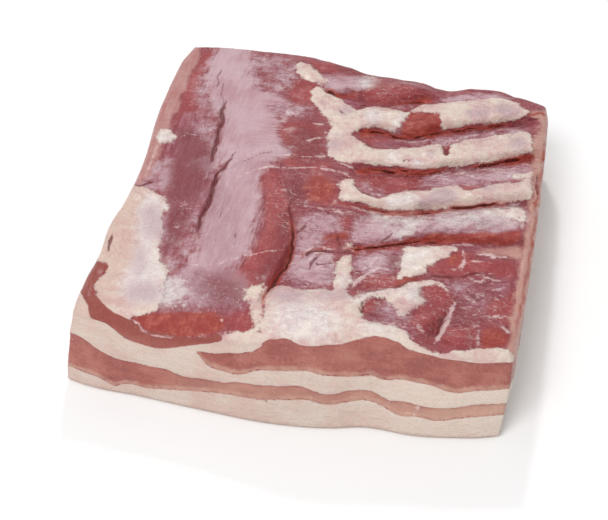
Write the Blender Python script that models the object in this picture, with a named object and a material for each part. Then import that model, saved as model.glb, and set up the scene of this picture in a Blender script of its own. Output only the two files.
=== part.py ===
"""Raw boneless pork belly slab, lying rind down: seven layers that run through one cut of meat.

Metres, +Z up, +Y towards the far (back) end. The origin is under the middle of the slab, on the surface
that it lies on. Hand-placed points are in millimetres and are turned into metres where they are read.

One closed blank has the outer form of the whole slab. Each layer is a copy of that blank, cut by a slice
that lies between two of the wavy surfaces where fat and lean meet.
"""

import bmesh
import bpy
import numpy as np

MM = 0.001

# Driving sizes of the slab
HALF_WIDTH = 124.5 * MM
HALF_DEPTH = 142.0 * MM
BASE_HEIGHT = 50.0 * MM
RIM_RADIUS = 5.0 * MM
FOOT_RADIUS = 3.0 * MM
FRONT_LEFT_CORNER = 15.0 * MM
FRONT_RIGHT_CORNER = 22.0 * MM
BACK_LEFT_CORNER = 25.0 * MM
BACK_RIGHT_CORNER = 20.0 * MM
LAYER_GAP = 0.3 * MM

# Where each edge of the plan meets its two corners
FRONT_ENDS = (-120.5 * MM, HALF_WIDTH)
BACK_ENDS = (-HALF_WIDTH, HALF_WIDTH)
LEFT_ENDS = (-128.0 * MM, HALF_DEPTH)
RIGHT_ENDS = (-122.0 * MM, 122.0 * MM)

# A rounded edge stands in from its sharp one by this share of its radius, halfway round
ROUND_SHARE = 0.29
CORNER_OVERRUN = 1.5

# Plan of the slab: the foot line at the front, and the rim line that the top rolls over on every side
FRONT_FOOT = ((-124.5, -131), (-116, -133.5), (-104, -136.3), (-80, -137.5), (-47, -140), (1, -142),
              (31, -138.5), (46, -134.6), (76, -134.7), (106, -130), (124.5, -127))
FRONT_RIM = ((-124.5, -123), (-100, -125), (-70, -127), (-40, -128.5), (-8, -129), (15, -128.5), (33, -125),
             (55, -120.5), (85, -121), (106, -118), (124.5, -116))
BACK_RIM = ((-124.5, 140), (-104, 142), (-70, 140), (-35, 138), (-15, 135.5), (5, 129), (24, 126),
            (44, 121.5), (55, 120), (71, 125.5), (90, 128.5), (105, 124), (124.5, 119))
LEFT_RIM = ((-130, -116), (-94, -118), (-75, -117), (-52, -119), (-30, -117), (18, -117.5), (55, -121.5),
            (90, -123), (142, -122.5))
LEFT_FOOT = ((-142, -120), (-60, -122.5), (20, -121.5), (90, -124.5), (142, -124.5))
RIGHT_RIM = ((-130, 122), (-60, 124.5), (40, 124.5), (125, 122.5))
RIGHT_FOOT = ((-142, 121), (-60, 120.5), (40, 119), (125, 118))

# The slits cross the slab between the places of the ribs, which were taken out
RIB_SLITS = (
    ((-124.5, -44), (26, -42.5), (35, -40.5), (45, -36.5), (65, -27.5), (80, -25.5), (95, -23.5),
     (124.5, -17.5)),
    ((-124.5, -8), (20, -4.5), (42, -6.5), (52, -4.5), (60, -0.5), (80, 6), (100, 13.5), (124.5, 21.5)),
    ((-124.5, 27), (14, 29), (45, 32), (57, 35), (67, 42), (82, 47), (100, 55), (124.5, 68)),
    ((-124.5, 67), (9, 67), (18, 71), (32, 67), (45, 70), (57, 78), (80, 86), (99, 95), (124.5, 98)),
    ((-124.5, 104), (-20, 101), (0, 102), (10, 97), (20, 97), (30, 101), (46, 106), (85, 109), (124.5, 106)),
)
RIB_SLIT_REACH = ((26, 119), (20, 121), (14, 121), (9, 112), (-14, 48))
RIB_SLIT_DEPTH = (3.5 * MM, 5.0 * MM, 6.0 * MM, 6.0 * MM, 4.0 * MM)
RIB_SLIT_FADE = 9.0 * MM
FINGER_WIDTH = (19.0 * MM, 18.0 * MM, 23.0 * MM, 25.0 * MM, 20.0 * MM)
FINGER_RISE = (1.0 * MM, 2.0 * MM, 2.0 * MM, 2.0 * MM, 1.0 * MM)
FINGER_LEAN = 0.6
SLIT_FACE = 1.8 * MM
SLIT_FLOOR = 8.0 * MM

# The flank muscle: the crease along its middle, and its edge, which stands over the meat on its right
FLANK_CREASE = ((-142, -72), (-90, -68), (-50, -65), (-25, -66), (0, -68), (30, -75), (60, -79), (85, -84),
                (142, -90))
CREASE_WIDTH = 5.0 * MM
CREASE_DEPTH = 2.5 * MM
CREASE_REACH = (-60, 90)
CREASE_FADE = 15.0 * MM
FLANK_EDGE = ((-142, -31), (-128, -30), (-115, -22), (-100, -16.5), (-75, -13), (-50, -10.5), (-38, -11),
              (-15, -18), (10, -12), (32, -8), (60, -9), (97, -28), (142, -46))
FLANK_STEP = 3.5 * MM
FLANK_STEP_FACE = 1.5 * MM
FLANK_STEP_RUNOUT = 12.0 * MM
FLANK_STEP_REACH = (-100, -18)
FLANK_STEP_FADE = 14.0 * MM

# Soft swells and hollows of the top: middle x, middle y, radius x, radius y, rise
TOP_SWELLS = {
    "flank back": (-46, 85, 26, 60, 2.5),
    "flank front": (-40, -40, 22, 55, 4.0),
    "left shelf": (-106, 20, 14, 130, -2.5),
    "front left hollow": (-98, -95, 22, 34, -3.5),
    "flank front slope": (-62, -132, 34, 14, -4.0),
    "front right swell": (50, -118, 36, 30, 6.5),
    "fat pad": (6, -116, 24, 20, 3.0),
    "right field": (80, -60, 40, 60, 1.0),
    "back flap": (24, 110, 26, 10, 4.5),
    "back right fall": (105, 112, 30, 16, -2.0),
}

# Folds of the top: path, width, rise
TOP_FOLDS = {
    "fat ridge": (((28, -112), (33, -98), (38, -86), (48, -80), (60, -79), (74, -82)), 6.0, 2.5),
    "front right crease": (((76, -110), (79, -98), (84, -86)), 3.5, -2.5),
}

# Unevenness of the top: wavelength over two pi across and along, height
TOP_WAVE = (17.0 * MM, 23.0 * MM, 0.6 * MM)

# Heights where fat and lean meet, along the front face, as x and z
LEAN_LOWER_FLOOR = ((-124.5, 10), (-103, 10), (-92, 6.5), (-60, 11), (-40, 14), (0, 17.5), (17, 20), (30, 18),
                    (48, 20), (66, 13.5), (88, 12.5), (105, 15.5), (124.5, 16))
LEAN_LOWER_ROOF = ((-124.5, 31), (-110, 30), (-100, 26), (-75, 22.5), (-55, 21), (-30, 22.5), (0, 27.5),
                   (14, 30), (28, 25), (48, 27.5), (62, 22), (78, 21), (124.5, 23))
LEAN_UPPER_FLOOR = ((-124.5, 37), (-80, 33), (-44, 33), (-30, 29.5), (-17, 30), (0, 36.5), (15, 39), (33, 35.7),
                    (52, 36), (62, 34), (80, 36), (95, 31.5), (124.5, 33))
LEAN_UPPER_THICKNESS = ((-44, 1.5), (-30, 9.5), (-12, 14.5), (0, 17.5), (15, 17), (30, 20.5), (44, 22), (60, 22.5),
                        (75, 19), (95, 19), (124.5, 17))
FLANK_FLOOR = ((-124.5, 43), (-104, 44), (-98, 42.5), (-92, 39.5), (-78, 35.5), (-68, 35), (-50, 39.5),
               (-35, 44.5), (-26, 48))
THINNEST_LEAN = 1.5 * MM
THINNEST_FAT = 2.5 * MM

# Further in, the same five surfaces even out to these heights, with a slow wave
INNER_HEIGHTS = (13.0 * MM, 23.0 * MM, 30.0 * MM, 37.5 * MM, 40.5 * MM)
INNER_WAVE = (26.0 * MM, 31.0 * MM, 0.8 * MM)
FRONT_FADE = 60.0 * MM
MUSCLE_FADE_START = -128.0 * MM
MUSCLE_FADE_END = -98.0 * MM

# The upper lean begins at this line from front to back, and reaches its inner thickness at the middle
PINCH_PATH = ((-142, -44), (0, -50), (142, -64))
PINCH_RUN_UP = 10.0 * MM

# In front of this line the fat under the rib side comes up to the top as a bare pad
FAT_PAD_EDGE = ((-30, -120), (-14, -97), (10, -94), (30, -100), (45, -111), (70, -113), (124.5, -112))
FAT_PAD_SLOPE = 6.0 * MM
FAT_PAD_LIFT = 20.0 * MM

# Places of the mesh lines between two seams, as shares of the way from one to the next
FRONT_SHARES = (0.0, 0.05, 0.12, 0.2, 0.29, 0.39, 0.49, 0.59, 0.69, 0.79, 0.88, 0.95)
FINGER_SHARES = (0.0, 0.07, 0.27, 0.5, 0.73, 0.88)
BACK_SHARES = (0.0, 0.1, 0.3, 0.55, 0.8)
SHELF_SHARES = (0.0, 0.14, 0.3, 0.47, 0.64, 0.82, 0.93)
FLANK_SHARES = (0.0, 0.08, 0.2, 0.36, 0.52, 0.68, 0.84, 0.96)
RIB_SHARES = (0.0, 0.022, 0.05, 0.1, 0.16, 0.225, 0.29, 0.355, 0.42, 0.485, 0.55, 0.615, 0.68, 0.745, 0.81,
              0.875, 0.94)
GRID_ROUNDS = 12

# Rings of the side walls: inset and drop from the rim, shares of the way down, inset and lift at the foot
RIM_RINGS = ((ROUND_SHARE, ROUND_SHARE), (0.0, 1.0))
WALL_RINGS = (0.4, 0.75)
FOOT_RINGS = ((0.0, 1.0), (ROUND_SHARE, ROUND_SHARE), (1.0, 0.0))

# The slices reach past the slab on every side, and up to a level well over its top
SLICE_ROWS = (-142.0 * MM, -118.0 * MM, -106.0 * MM, -94.0 * MM, -60.0 * MM, 0.0, 70.0 * MM, 142.0 * MM)
SLICE_STEPS = (8, 1, 3, 1, 12)
SLICE_REACH = 20.0 * MM
SKY = 90.0 * MM

# Surface finishes: base colour and roughness
FAT_COLOUR = (0.83, 0.66, 0.56)
LOWER_LEAN_COLOUR = (0.60, 0.25, 0.20)
UPPER_LEAN_COLOUR = (0.66, 0.30, 0.24)
FLANK_COLOUR = (0.50, 0.19, 0.20)
RIB_COLOUR = (0.62, 0.33, 0.30)
FAT_ROUGHNESS = 0.45
LEAN_ROUGHNESS = 0.35


def smooth_line(points):
    """A smooth function through hand-placed pairs in millimetres, held level past both ends."""
    knots, values = np.array(points, dtype=float).T * MM
    slopes = np.gradient(values, knots)

    def at(place):
        place = np.clip(place, knots[0], knots[-1])
        start = np.clip(np.searchsorted(knots, place) - 1, 0, len(knots) - 2)
        width = knots[start + 1] - knots[start]
        s = (place - knots[start]) / width
        blend = s * s * (3.0 - 2.0 * s)
        rise = slopes[start] * s * (1.0 - s) ** 2 - slopes[start + 1] * s * s * (1.0 - s)
        return values[start] * (1.0 - blend) + values[start + 1] * blend + width * rise

    return at


def ramp(value, low, high):
    """0 below low, 1 above high, and a smooth rise between them."""
    s = np.clip((value - low) / (high - low), 0.0, 1.0)
    return s * s * (3.0 - 2.0 * s)


def bell(distance, width):
    """1 at no distance, falling off smoothly over a width."""
    return np.exp(-(distance / width) ** 2)


def within(value, reach, soft):
    """1 inside a reach given as a pair in millimetres, fading to 0 past both of its ends."""
    low, high = reach[0] * MM, reach[1] * MM
    return ramp(value, low - soft, low + soft) * (1.0 - ramp(value, high - soft, high + soft))


def distance_to_path(x, y, points):
    """Distance in plan from each place to a path of hand-placed points in millimetres."""
    path = np.array(points, dtype=float) * MM
    nearest = np.full(np.shape(x), np.inf)
    for start, end in zip(path[:-1], path[1:]):
        run = end - start
        share = np.clip(((x - start[0]) * run[0] + (y - start[1]) * run[1]) / (run @ run), 0.0, 1.0)
        nearest = np.minimum(nearest, np.hypot(x - start[0] - share * run[0], y - start[1] - share * run[1]))
    return nearest


FRONT_RIM_LINE = smooth_line(FRONT_RIM)
FRONT_FOOT_LINE = smooth_line(FRONT_FOOT)
BACK_RIM_LINE = smooth_line(BACK_RIM)
LEFT_RIM_LINE = smooth_line(LEFT_RIM)
LEFT_FOOT_LINE = smooth_line(LEFT_FOOT)
RIGHT_RIM_LINE = smooth_line(RIGHT_RIM)
RIGHT_FOOT_LINE = smooth_line(RIGHT_FOOT)
RIB_SLIT_LINES = [smooth_line(points) for points in RIB_SLITS]
FLANK_CREASE_LINE = smooth_line(FLANK_CREASE)
FLANK_EDGE_LINE = smooth_line(FLANK_EDGE)
PINCH_LINE = smooth_line(PINCH_PATH)
FAT_PAD_LINE = smooth_line(FAT_PAD_EDGE)
LEAN_UPPER_THICKNESS_LINE = smooth_line(LEAN_UPPER_THICKNESS)
LEAN_LOWER_FLOOR_LINE = smooth_line(LEAN_LOWER_FLOOR)
LEAN_LOWER_ROOF_LINE = smooth_line(LEAN_LOWER_ROOF)
LEAN_UPPER_FLOOR_LINE = smooth_line(LEAN_UPPER_FLOOR)
FLANK_FLOOR_LINE = smooth_line(FLANK_FLOOR)


def corner_rounding(place, ends, low_radius, high_radius):
    """How far an edge draws in beside the corners at its two ends."""
    low = low_radius * np.clip(1.0 - (place - ends[0]) / low_radius, 0.0, CORNER_OVERRUN) ** 2
    high = high_radius * np.clip(1.0 - (ends[1] - place) / high_radius, 0.0, CORNER_OVERRUN) ** 2
    return ROUND_SHARE * np.maximum(low, high)


def front_y(x, foot=False):
    """The front edge of the plan at a given x."""
    line = FRONT_FOOT_LINE if foot else FRONT_RIM_LINE
    return line(x) + corner_rounding(x, FRONT_ENDS, FRONT_LEFT_CORNER, FRONT_RIGHT_CORNER)


def back_y(x):
    """The back edge of the plan at a given x."""
    return BACK_RIM_LINE(x) - corner_rounding(x, BACK_ENDS, BACK_LEFT_CORNER, BACK_RIGHT_CORNER)


def left_x(y, foot=False):
    """The left edge of the plan at a given y."""
    line = LEFT_FOOT_LINE if foot else LEFT_RIM_LINE
    return line(y) + corner_rounding(y, LEFT_ENDS, FRONT_LEFT_CORNER, BACK_LEFT_CORNER)


def right_x(y, foot=False):
    """The right edge of the plan at a given y."""
    line = RIGHT_FOOT_LINE if foot else RIGHT_RIM_LINE
    return line(y) - corner_rounding(y, RIGHT_ENDS, FRONT_RIGHT_CORNER, BACK_RIGHT_CORNER)


def inner_front(x):
    """Where the top begins to roll over the front rim."""
    return front_y(x) + RIM_RADIUS


def inner_back(x):
    """Where the top begins to roll over the back rim."""
    return back_y(x) - RIM_RADIUS


def inner_left(y):
    """Where the top begins to roll over the left rim."""
    return left_x(y) + RIM_RADIUS


def inner_right(y):
    """Where the top begins to roll over the right rim."""
    return right_x(y) - RIM_RADIUS


def slit_relief(x, y, number):
    """A rib slit: the finger behind it stands over a steep face, and the floor in front climbs slowly."""
    across = y - RIB_SLIT_LINES[number](x)
    groove = RIB_SLIT_DEPTH[number] * bell(across, np.where(across > 0.0, SLIT_FACE, SLIT_FLOOR))
    finger_share = np.clip(across / FINGER_WIDTH[number], 0.0, 1.0)
    finger = FINGER_RISE[number] * np.sin(np.pi * finger_share ** FINGER_LEAN)
    return (finger - groove) * within(x, RIB_SLIT_REACH[number], RIB_SLIT_FADE)


def flank_relief(x, y):
    """The shallow crease along the flank muscle, and the drop beside its edge."""
    crease = CREASE_DEPTH * bell(x - FLANK_CREASE_LINE(y), CREASE_WIDTH) * within(y, CREASE_REACH, CREASE_FADE)
    beside = x - FLANK_EDGE_LINE(y)
    drop = bell(beside, np.where(beside > 0.0, FLANK_STEP_RUNOUT, FLANK_STEP_FACE))
    return -crease - FLANK_STEP * drop * within(y, FLANK_STEP_REACH, FLANK_STEP_FADE)


def top_height(x, y):
    """Height of the top surface, before it rolls over the rim."""
    height = BASE_HEIGHT + flank_relief(x, y)
    for middle_x, middle_y, radius_x, radius_y, rise in TOP_SWELLS.values():
        away = np.hypot((x / MM - middle_x) / radius_x, (y / MM - middle_y) / radius_y)
        height += rise * MM * bell(away, 1.0)
    for number in range(len(RIB_SLITS)):
        height += slit_relief(x, y, number)
    for path, width, rise in TOP_FOLDS.values():
        height += rise * MM * bell(distance_to_path(x, y, path), width * MM)
    across, along, rise = TOP_WAVE
    return height + rise * np.sin(x / across) * np.sin(y / along)


def spread(shares_by_gap):
    """Numbers for all mesh lines between seams: which gap each is in, and its share of the way across."""
    numbered = [(gap, share) for gap, shares in enumerate(shares_by_gap) for share in shares]
    return numbered + [(len(shares_by_gap) - 1, 1.0)]


def warped_grid(row_shares, column_shares):
    """Plan places where the rows and the columns of the top cross, as two arrays.

    Rows follow the slits and columns follow the flank muscle. Each leans on the other, so the places are
    worked out in rounds until they settle.
    """
    rows = [inner_front, *RIB_SLIT_LINES, inner_back]
    columns = [inner_left, FLANK_CREASE_LINE, FLANK_EDGE_LINE, inner_right]
    row_numbers, column_numbers = spread(row_shares), spread(column_shares)
    x = np.zeros((len(row_numbers), len(column_numbers)))
    y = np.zeros_like(x)
    for _ in range(GRID_ROUNDS):
        for i, (gap, share) in enumerate(row_numbers):
            y[i] = rows[gap](x[i]) * (1.0 - share) + rows[gap + 1](x[i]) * share
        for j, (gap, share) in enumerate(column_numbers):
            x[:, j] = columns[gap](y[:, j]) * (1.0 - share) + columns[gap + 1](y[:, j]) * share
    return x, y


def grid_mesh(x, y, z):
    """A bmesh sheet whose grid points stand at the given places, with the grid place of each point."""
    rows, columns = x.shape
    sheet = bmesh.new()
    bmesh.ops.create_grid(sheet, x_segments=columns - 1, y_segments=rows - 1, size=0.5)
    row_layer = sheet.verts.layers.int.new("row")
    column_layer = sheet.verts.layers.int.new("column")
    for vert in sheet.verts:
        i = round((vert.co.y + 0.5) * (rows - 1))
        j = round((vert.co.x + 0.5) * (columns - 1))
        vert[row_layer], vert[column_layer] = i, j
        vert.co = (x[i, j], y[i, j], z[i, j])
    return sheet


def wall_places(x, y, z):
    """Plan places and heights of the rings that go down the sides, from the rim to the foot.

    Only their outermost rows and columns are used: the front row, the back row and the two side columns.
    """
    rim_x, rim_y, foot_x, foot_y = x.copy(), y.copy(), x.copy(), y.copy()
    rim_y[0], rim_y[-1] = rim_y[0] - RIM_RADIUS, rim_y[-1] + RIM_RADIUS
    rim_x[:, 0], rim_x[:, -1] = rim_x[:, 0] - RIM_RADIUS, rim_x[:, -1] + RIM_RADIUS
    foot_y[0], foot_y[-1] = front_y(rim_x[0], foot=True), rim_y[-1]
    foot_x[:, 0], foot_x[:, -1] = left_x(rim_y[:, 0], foot=True), right_x(rim_y[:, -1], foot=True)
    inward_x, inward_y = np.sign(x - rim_x), np.sign(y - rim_y)
    rings = []
    for inset, drop in RIM_RINGS:
        rings.append((rim_x + inset * RIM_RADIUS * inward_x, rim_y + inset * RIM_RADIUS * inward_y,
                      z - drop * RIM_RADIUS))
    for share in WALL_RINGS:
        rings.append((rim_x * (1.0 - share) + foot_x * share, rim_y * (1.0 - share) + foot_y * share,
                      (z - RIM_RADIUS) * (1.0 - share) + FOOT_RADIUS * share))
    for inset, lift in FOOT_RINGS:
        rings.append((foot_x + inset * FOOT_RADIUS * inward_x, foot_y + inset * FOOT_RADIUS * inward_y,
                      np.full_like(z, lift * FOOT_RADIUS)))
    return rings


def build_blank():
    """The closed outer form of the whole slab."""
    finger_rows = [FINGER_SHARES] * (len(RIB_SLITS) - 1)
    x, y = warped_grid([FRONT_SHARES, *finger_rows, BACK_SHARES], [SHELF_SHARES, FLANK_SHARES, RIB_SHARES])
    z = top_height(x, y)
    blank = grid_mesh(x, y, z)
    row_layer = blank.verts.layers.int["row"]
    column_layer = blank.verts.layers.int["column"]
    for ring_x, ring_y, ring_z in wall_places(x, y, z):
        border = [edge for edge in blank.edges if edge.is_boundary]
        grown = bmesh.ops.extrude_edge_only(blank, edges=border)["geom"]
        for vert in [item for item in grown if isinstance(item, bmesh.types.BMVert)]:
            place = vert[row_layer], vert[column_layer]
            vert.co = (ring_x[place], ring_y[place], ring_z[place])
    bmesh.ops.holes_fill(blank, edges=[edge for edge in blank.edges if edge.is_boundary], sides=0)
    bmesh.ops.recalc_face_normals(blank, faces=blank.faces)
    return blank


def settle(front_line, inner_height, x, y):
    """A meeting surface: its front heights, evening out to one inner height towards the back."""
    share = np.exp(-np.clip(y + HALF_DEPTH, 0.0, None) / FRONT_FADE)
    across, along, rise = INNER_WAVE
    inner = inner_height + rise * np.sin(x / across + y / along)
    return front_line(x) * share + inner * (1.0 - share)


def meeting_surfaces(x, y):
    """Heights of the five surfaces where fat and lean meet, from the lowest up."""
    lower_floor = settle(LEAN_LOWER_FLOOR_LINE, INNER_HEIGHTS[0], x, y)
    lower_roof = settle(LEAN_LOWER_ROOF_LINE, INNER_HEIGHTS[1], x, y)
    upper_floor = settle(LEAN_UPPER_FLOOR_LINE, INNER_HEIGHTS[2], x, y)
    deep = ramp(y, MUSCLE_FADE_START, MUSCLE_FADE_END)
    pinch = PINCH_LINE(y)
    inner_thickness = (INNER_HEIGHTS[3] - INNER_HEIGHTS[2]) * ramp(x, pinch - PINCH_RUN_UP, 0.0)
    thickness = LEAN_UPPER_THICKNESS_LINE(x) * (1.0 - deep) + inner_thickness * deep
    upper_roof = upper_floor + np.where(x < pinch, 0.0, np.maximum(thickness, THINNEST_LEAN))
    flank_floor = FLANK_FLOOR_LINE(x) * (1.0 - deep) + INNER_HEIGHTS[4] * deep
    bare_fat = 1.0 - ramp(y - FAT_PAD_LINE(x), -FAT_PAD_SLOPE, FAT_PAD_SLOPE)
    rib_floor = INNER_HEIGHTS[4] + FAT_PAD_LIFT * bare_fat
    muscle_floor = np.where(x < FLANK_EDGE_LINE(y), flank_floor, rib_floor)
    muscle_floor = np.maximum(muscle_floor, upper_roof + THINNEST_FAT)
    return [lower_floor, lower_roof, upper_floor, upper_roof, muscle_floor]


def meeting_surface(number):
    """The height function of one meeting surface."""

    def height(x, y):
        return meeting_surfaces(x, y)[number]

    return height


def level_surface(height):
    """The height function of a level surface."""

    def level(x, y):
        return np.full_like(x, height)

    return level


def slice_plan():
    """Plan places of the coarse grid that all slices share, reaching past the slab on every side.

    Returns the two place arrays and the column numbers of the pinch line and of the flank muscle's edge.
    Both lines have two columns one gap apart, so that a surface can step there.
    """
    rows = np.array(SLICE_ROWS)
    rows[0] -= SLICE_REACH
    rows[-1] += SLICE_REACH
    edge = FLANK_EDGE_LINE(rows)
    pinch = PINCH_LINE(rows)
    far = np.full_like(rows, HALF_WIDTH + SLICE_REACH)
    seams = [-far, pinch - LAYER_GAP, pinch, edge - LAYER_GAP / 2.0, edge + LAYER_GAP / 2.0, far]
    columns = []
    for start, end, steps in zip(seams[:-1], seams[1:], SLICE_STEPS):
        columns += [start + (end - start) * step / steps for step in range(steps)]
    x = np.stack([*columns, seams[-1]], axis=1)
    pinch_column = sum(SLICE_STEPS[:2])
    edge_column = sum(SLICE_STEPS[:3])
    return x, np.repeat(rows[:, None], x.shape[1], axis=1), pinch_column, edge_column


def side_shifted(x, column, shift):
    """The plan places with one side column moved, to leave the gap beside a neighbour."""
    moved = x.copy()
    moved[:, column] += shift
    return moved


def build_slice(name, plan, low, high):
    """A hidden cutter that fills the space between two surfaces over a plan."""
    x, y = plan
    cutter = grid_mesh(x, y, low(x, y) + LAYER_GAP / 2.0)
    bmesh.ops.triangulate(cutter, faces=cutter.faces, quad_method="FIXED")
    row_layer = cutter.verts.layers.int["row"]
    column_layer = cutter.verts.layers.int["column"]
    roof_z = high(x, y) - LAYER_GAP / 2.0
    grown = bmesh.ops.extrude_face_region(cutter, geom=list(cutter.faces))["geom"]
    for vert in [item for item in grown if isinstance(item, bmesh.types.BMVert)]:
        vert.co.z = roof_z[vert[row_layer], vert[column_layer]]
    bmesh.ops.recalc_face_normals(cutter, faces=cutter.faces)
    return hidden_object(name, cutter)


def hidden_object(name, shape):
    """Turn a bmesh into a named guide object that is not shown."""
    mesh = bpy.data.meshes.new(name)
    shape.to_mesh(mesh)
    shape.free()
    made = bpy.data.objects.new(name, mesh)
    made.hide_render = True
    made.display_type = "WIRE"
    CUTTERS.objects.link(made)
    return made


def make_material(name, colour, roughness):
    """A plain Principled finish."""
    material = bpy.data.materials.new(name)
    material.use_nodes = True
    shader = material.node_tree.nodes["Principled BSDF"]
    shader.inputs["Base Color"].default_value = (*colour, 1.0)
    shader.inputs["Roughness"].default_value = roughness
    shader.inputs["Metallic"].default_value = 0.0
    return material


def cut_layer(name, blank_mesh, cutter, colour, roughness):
    """One layer: a copy of the blank, kept only where its slice is."""
    layer = bpy.data.objects.new(name, blank_mesh.copy())
    PARTS.objects.link(layer)
    layer.data.materials.append(make_material(name, colour, roughness))
    layer.data.shade_smooth()
    keep = layer.modifiers.new("keep slice", "BOOLEAN")
    keep.operation = "INTERSECT"
    keep.solver = "EXACT"
    keep.object = cutter


def build_layers():
    """Cut the seven layers out of the blank."""
    blank = hidden_object("slab_blank", build_blank())
    x, y, pinch, edge = slice_plan()
    whole = x, y
    past_pinch = side_shifted(x[:, pinch:], 0, LAYER_GAP), y[:, pinch:]
    flank_side = side_shifted(x[:, :edge + 1], -1, -LAYER_GAP), y[:, :edge + 1]
    rib_side = x[:, edge + 1:], y[:, edge + 1:]
    under, sky = level_surface(-SLICE_REACH), level_surface(SKY)
    lower_floor, lower_roof, upper_floor, upper_roof, muscle_floor = map(meeting_surface, range(5))
    layers = (
        ("fat_base", whole, under, lower_floor, FAT_COLOUR, FAT_ROUGHNESS),
        ("lean_lower", whole, lower_floor, lower_roof, LOWER_LEAN_COLOUR, LEAN_ROUGHNESS),
        ("fat_middle", whole, lower_roof, upper_floor, FAT_COLOUR, FAT_ROUGHNESS),
        ("lean_upper", past_pinch, upper_floor, upper_roof, UPPER_LEAN_COLOUR, LEAN_ROUGHNESS),
        ("fat_upper", whole, upper_roof, muscle_floor, FAT_COLOUR, FAT_ROUGHNESS),
        ("flank_muscle", flank_side, muscle_floor, sky, FLANK_COLOUR, LEAN_ROUGHNESS),
        ("rib_side", rib_side, muscle_floor, sky, RIB_COLOUR, LEAN_ROUGHNESS),
    )
    for name, plan, low, high, colour, roughness in layers:
        cutter = build_slice(f"{name}_slice", plan, low, high)
        cut_layer(name, blank.data, cutter, colour, roughness)


def new_collection(name):
    """An empty collection in the scene."""
    collection = bpy.data.collections.new(name)
    bpy.context.scene.collection.children.link(collection)
    return collection


for old in list(bpy.data.objects):
    bpy.data.objects.remove(old, do_unlink=True)

PARTS = new_collection("pork_belly_slab")
CUTTERS = new_collection("cutters")
build_layers()
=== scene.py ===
"""Looks of a raw pork belly slab: one wet skin over the seven packed layers, a floor, light and a camera."""

import logging
import math
from dataclasses import dataclass
from enum import Enum
from typing import Callable, Sequence

import bpy
import numpy as np
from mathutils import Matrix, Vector


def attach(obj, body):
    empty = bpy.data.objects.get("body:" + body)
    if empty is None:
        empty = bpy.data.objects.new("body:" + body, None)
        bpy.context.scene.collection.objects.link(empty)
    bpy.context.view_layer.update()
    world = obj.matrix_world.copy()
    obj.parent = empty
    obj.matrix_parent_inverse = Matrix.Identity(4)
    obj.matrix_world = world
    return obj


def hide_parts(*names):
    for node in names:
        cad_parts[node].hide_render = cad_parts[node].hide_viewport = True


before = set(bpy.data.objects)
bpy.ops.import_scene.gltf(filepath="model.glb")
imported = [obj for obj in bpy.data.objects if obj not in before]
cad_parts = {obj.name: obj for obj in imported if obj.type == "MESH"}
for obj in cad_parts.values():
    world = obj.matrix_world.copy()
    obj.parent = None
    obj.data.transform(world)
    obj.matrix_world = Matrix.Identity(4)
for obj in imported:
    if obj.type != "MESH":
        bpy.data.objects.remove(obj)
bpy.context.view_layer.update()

MM = 0.001
LAYER_NODES = ("fat_base", "lean_lower", "fat_middle", "lean_upper", "fat_upper", "flank_muscle", "rib_side")

Array = np.ndarray
Points = Sequence[tuple[float, float]]
Trace = Sequence[float]
Colour = tuple[float, float, float, float]
Seam = Callable[[Array], Array]
log = logging.getLogger("pork_belly")


def ramp(value: Array, low: float, high: float) -> Array:
    """Rise smoothly from 0 at low to 1 at high.

    Args:
        value: Places to read the rise at.
        low: Where the rise starts.
        high: Where the rise ends.

    Returns:
        The rise at each place.
    """
    share = np.clip((value - low) / (high - low), 0.0, 1.0)
    return share * share * (3.0 - 2.0 * share)


def hump(value: Array, width: float) -> Array:
    """A bell of height 1 around 0, as wide as given."""
    return np.exp(-(value / width) ** 2)


def linear(red: int, green: int, blue: int) -> Colour:
    """Turn a display colour of 0 to 255 into the renderer's linear colour."""
    shares = (((part / 255 + 0.055) / 1.055) ** 2.4 for part in (red, green, blue))
    return (*shares, 1.0)


@dataclass(frozen=True)
class HandLine:
    """A smooth line through a few given points in millimetres, level past both ends."""

    points: Points

    def __call__(self, place: Array) -> Array:
        """Read the line.

        Args:
            place: Where to read it, in metres.

        Returns:
            The line's value at each place, in metres.
        """
        knots, values = np.array(self.points, dtype=float).T * MM
        slopes = np.gradient(values, knots)
        place = np.clip(place, knots[0], knots[-1])
        start = np.clip(np.searchsorted(knots, place) - 1, 0, len(knots) - 2)
        width = knots[start + 1] - knots[start]
        s = (place - knots[start]) / width
        blend = s * s * (3.0 - 2.0 * s)
        lift = slopes[start] * s * (1.0 - s) ** 2 - slopes[start + 1] * s * s * (1.0 - s)
        return values[start] * (1.0 - blend) + values[start + 1] * blend + width * lift


@dataclass(frozen=True)
class Lumps:
    """Soft random lumps over two directions, the same on every run."""

    seed: int
    cell: tuple[float, float]

    def __call__(self, a: Array, b: Array) -> Array:
        """Read the lumps.

        Args:
            a: Places along the first direction, in metres.
            b: Places along the second direction, in metres.

        Returns:
            A height between about -1 and 1 at each place.
        """
        size = 97
        table = np.random.default_rng(self.seed).uniform(-1.0, 1.0, (size, size))
        u, v = a / (self.cell[0] * MM) + 0.5 * size, b / (self.cell[1] * MM) + 0.5 * size
        i, j = np.floor(u).astype(int), np.floor(v).astype(int)
        s, t = ramp(u - i, 0.0, 1.0), ramp(v - j, 0.0, 1.0)
        low = table[i % size, j % size] * (1.0 - s) + table[(i + 1) % size, j % size] * s
        high = table[i % size, (j + 1) % size] * (1.0 - s) + table[(i + 1) % size, (j + 1) % size] * s
        return low * (1.0 - t) + high * t


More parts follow.
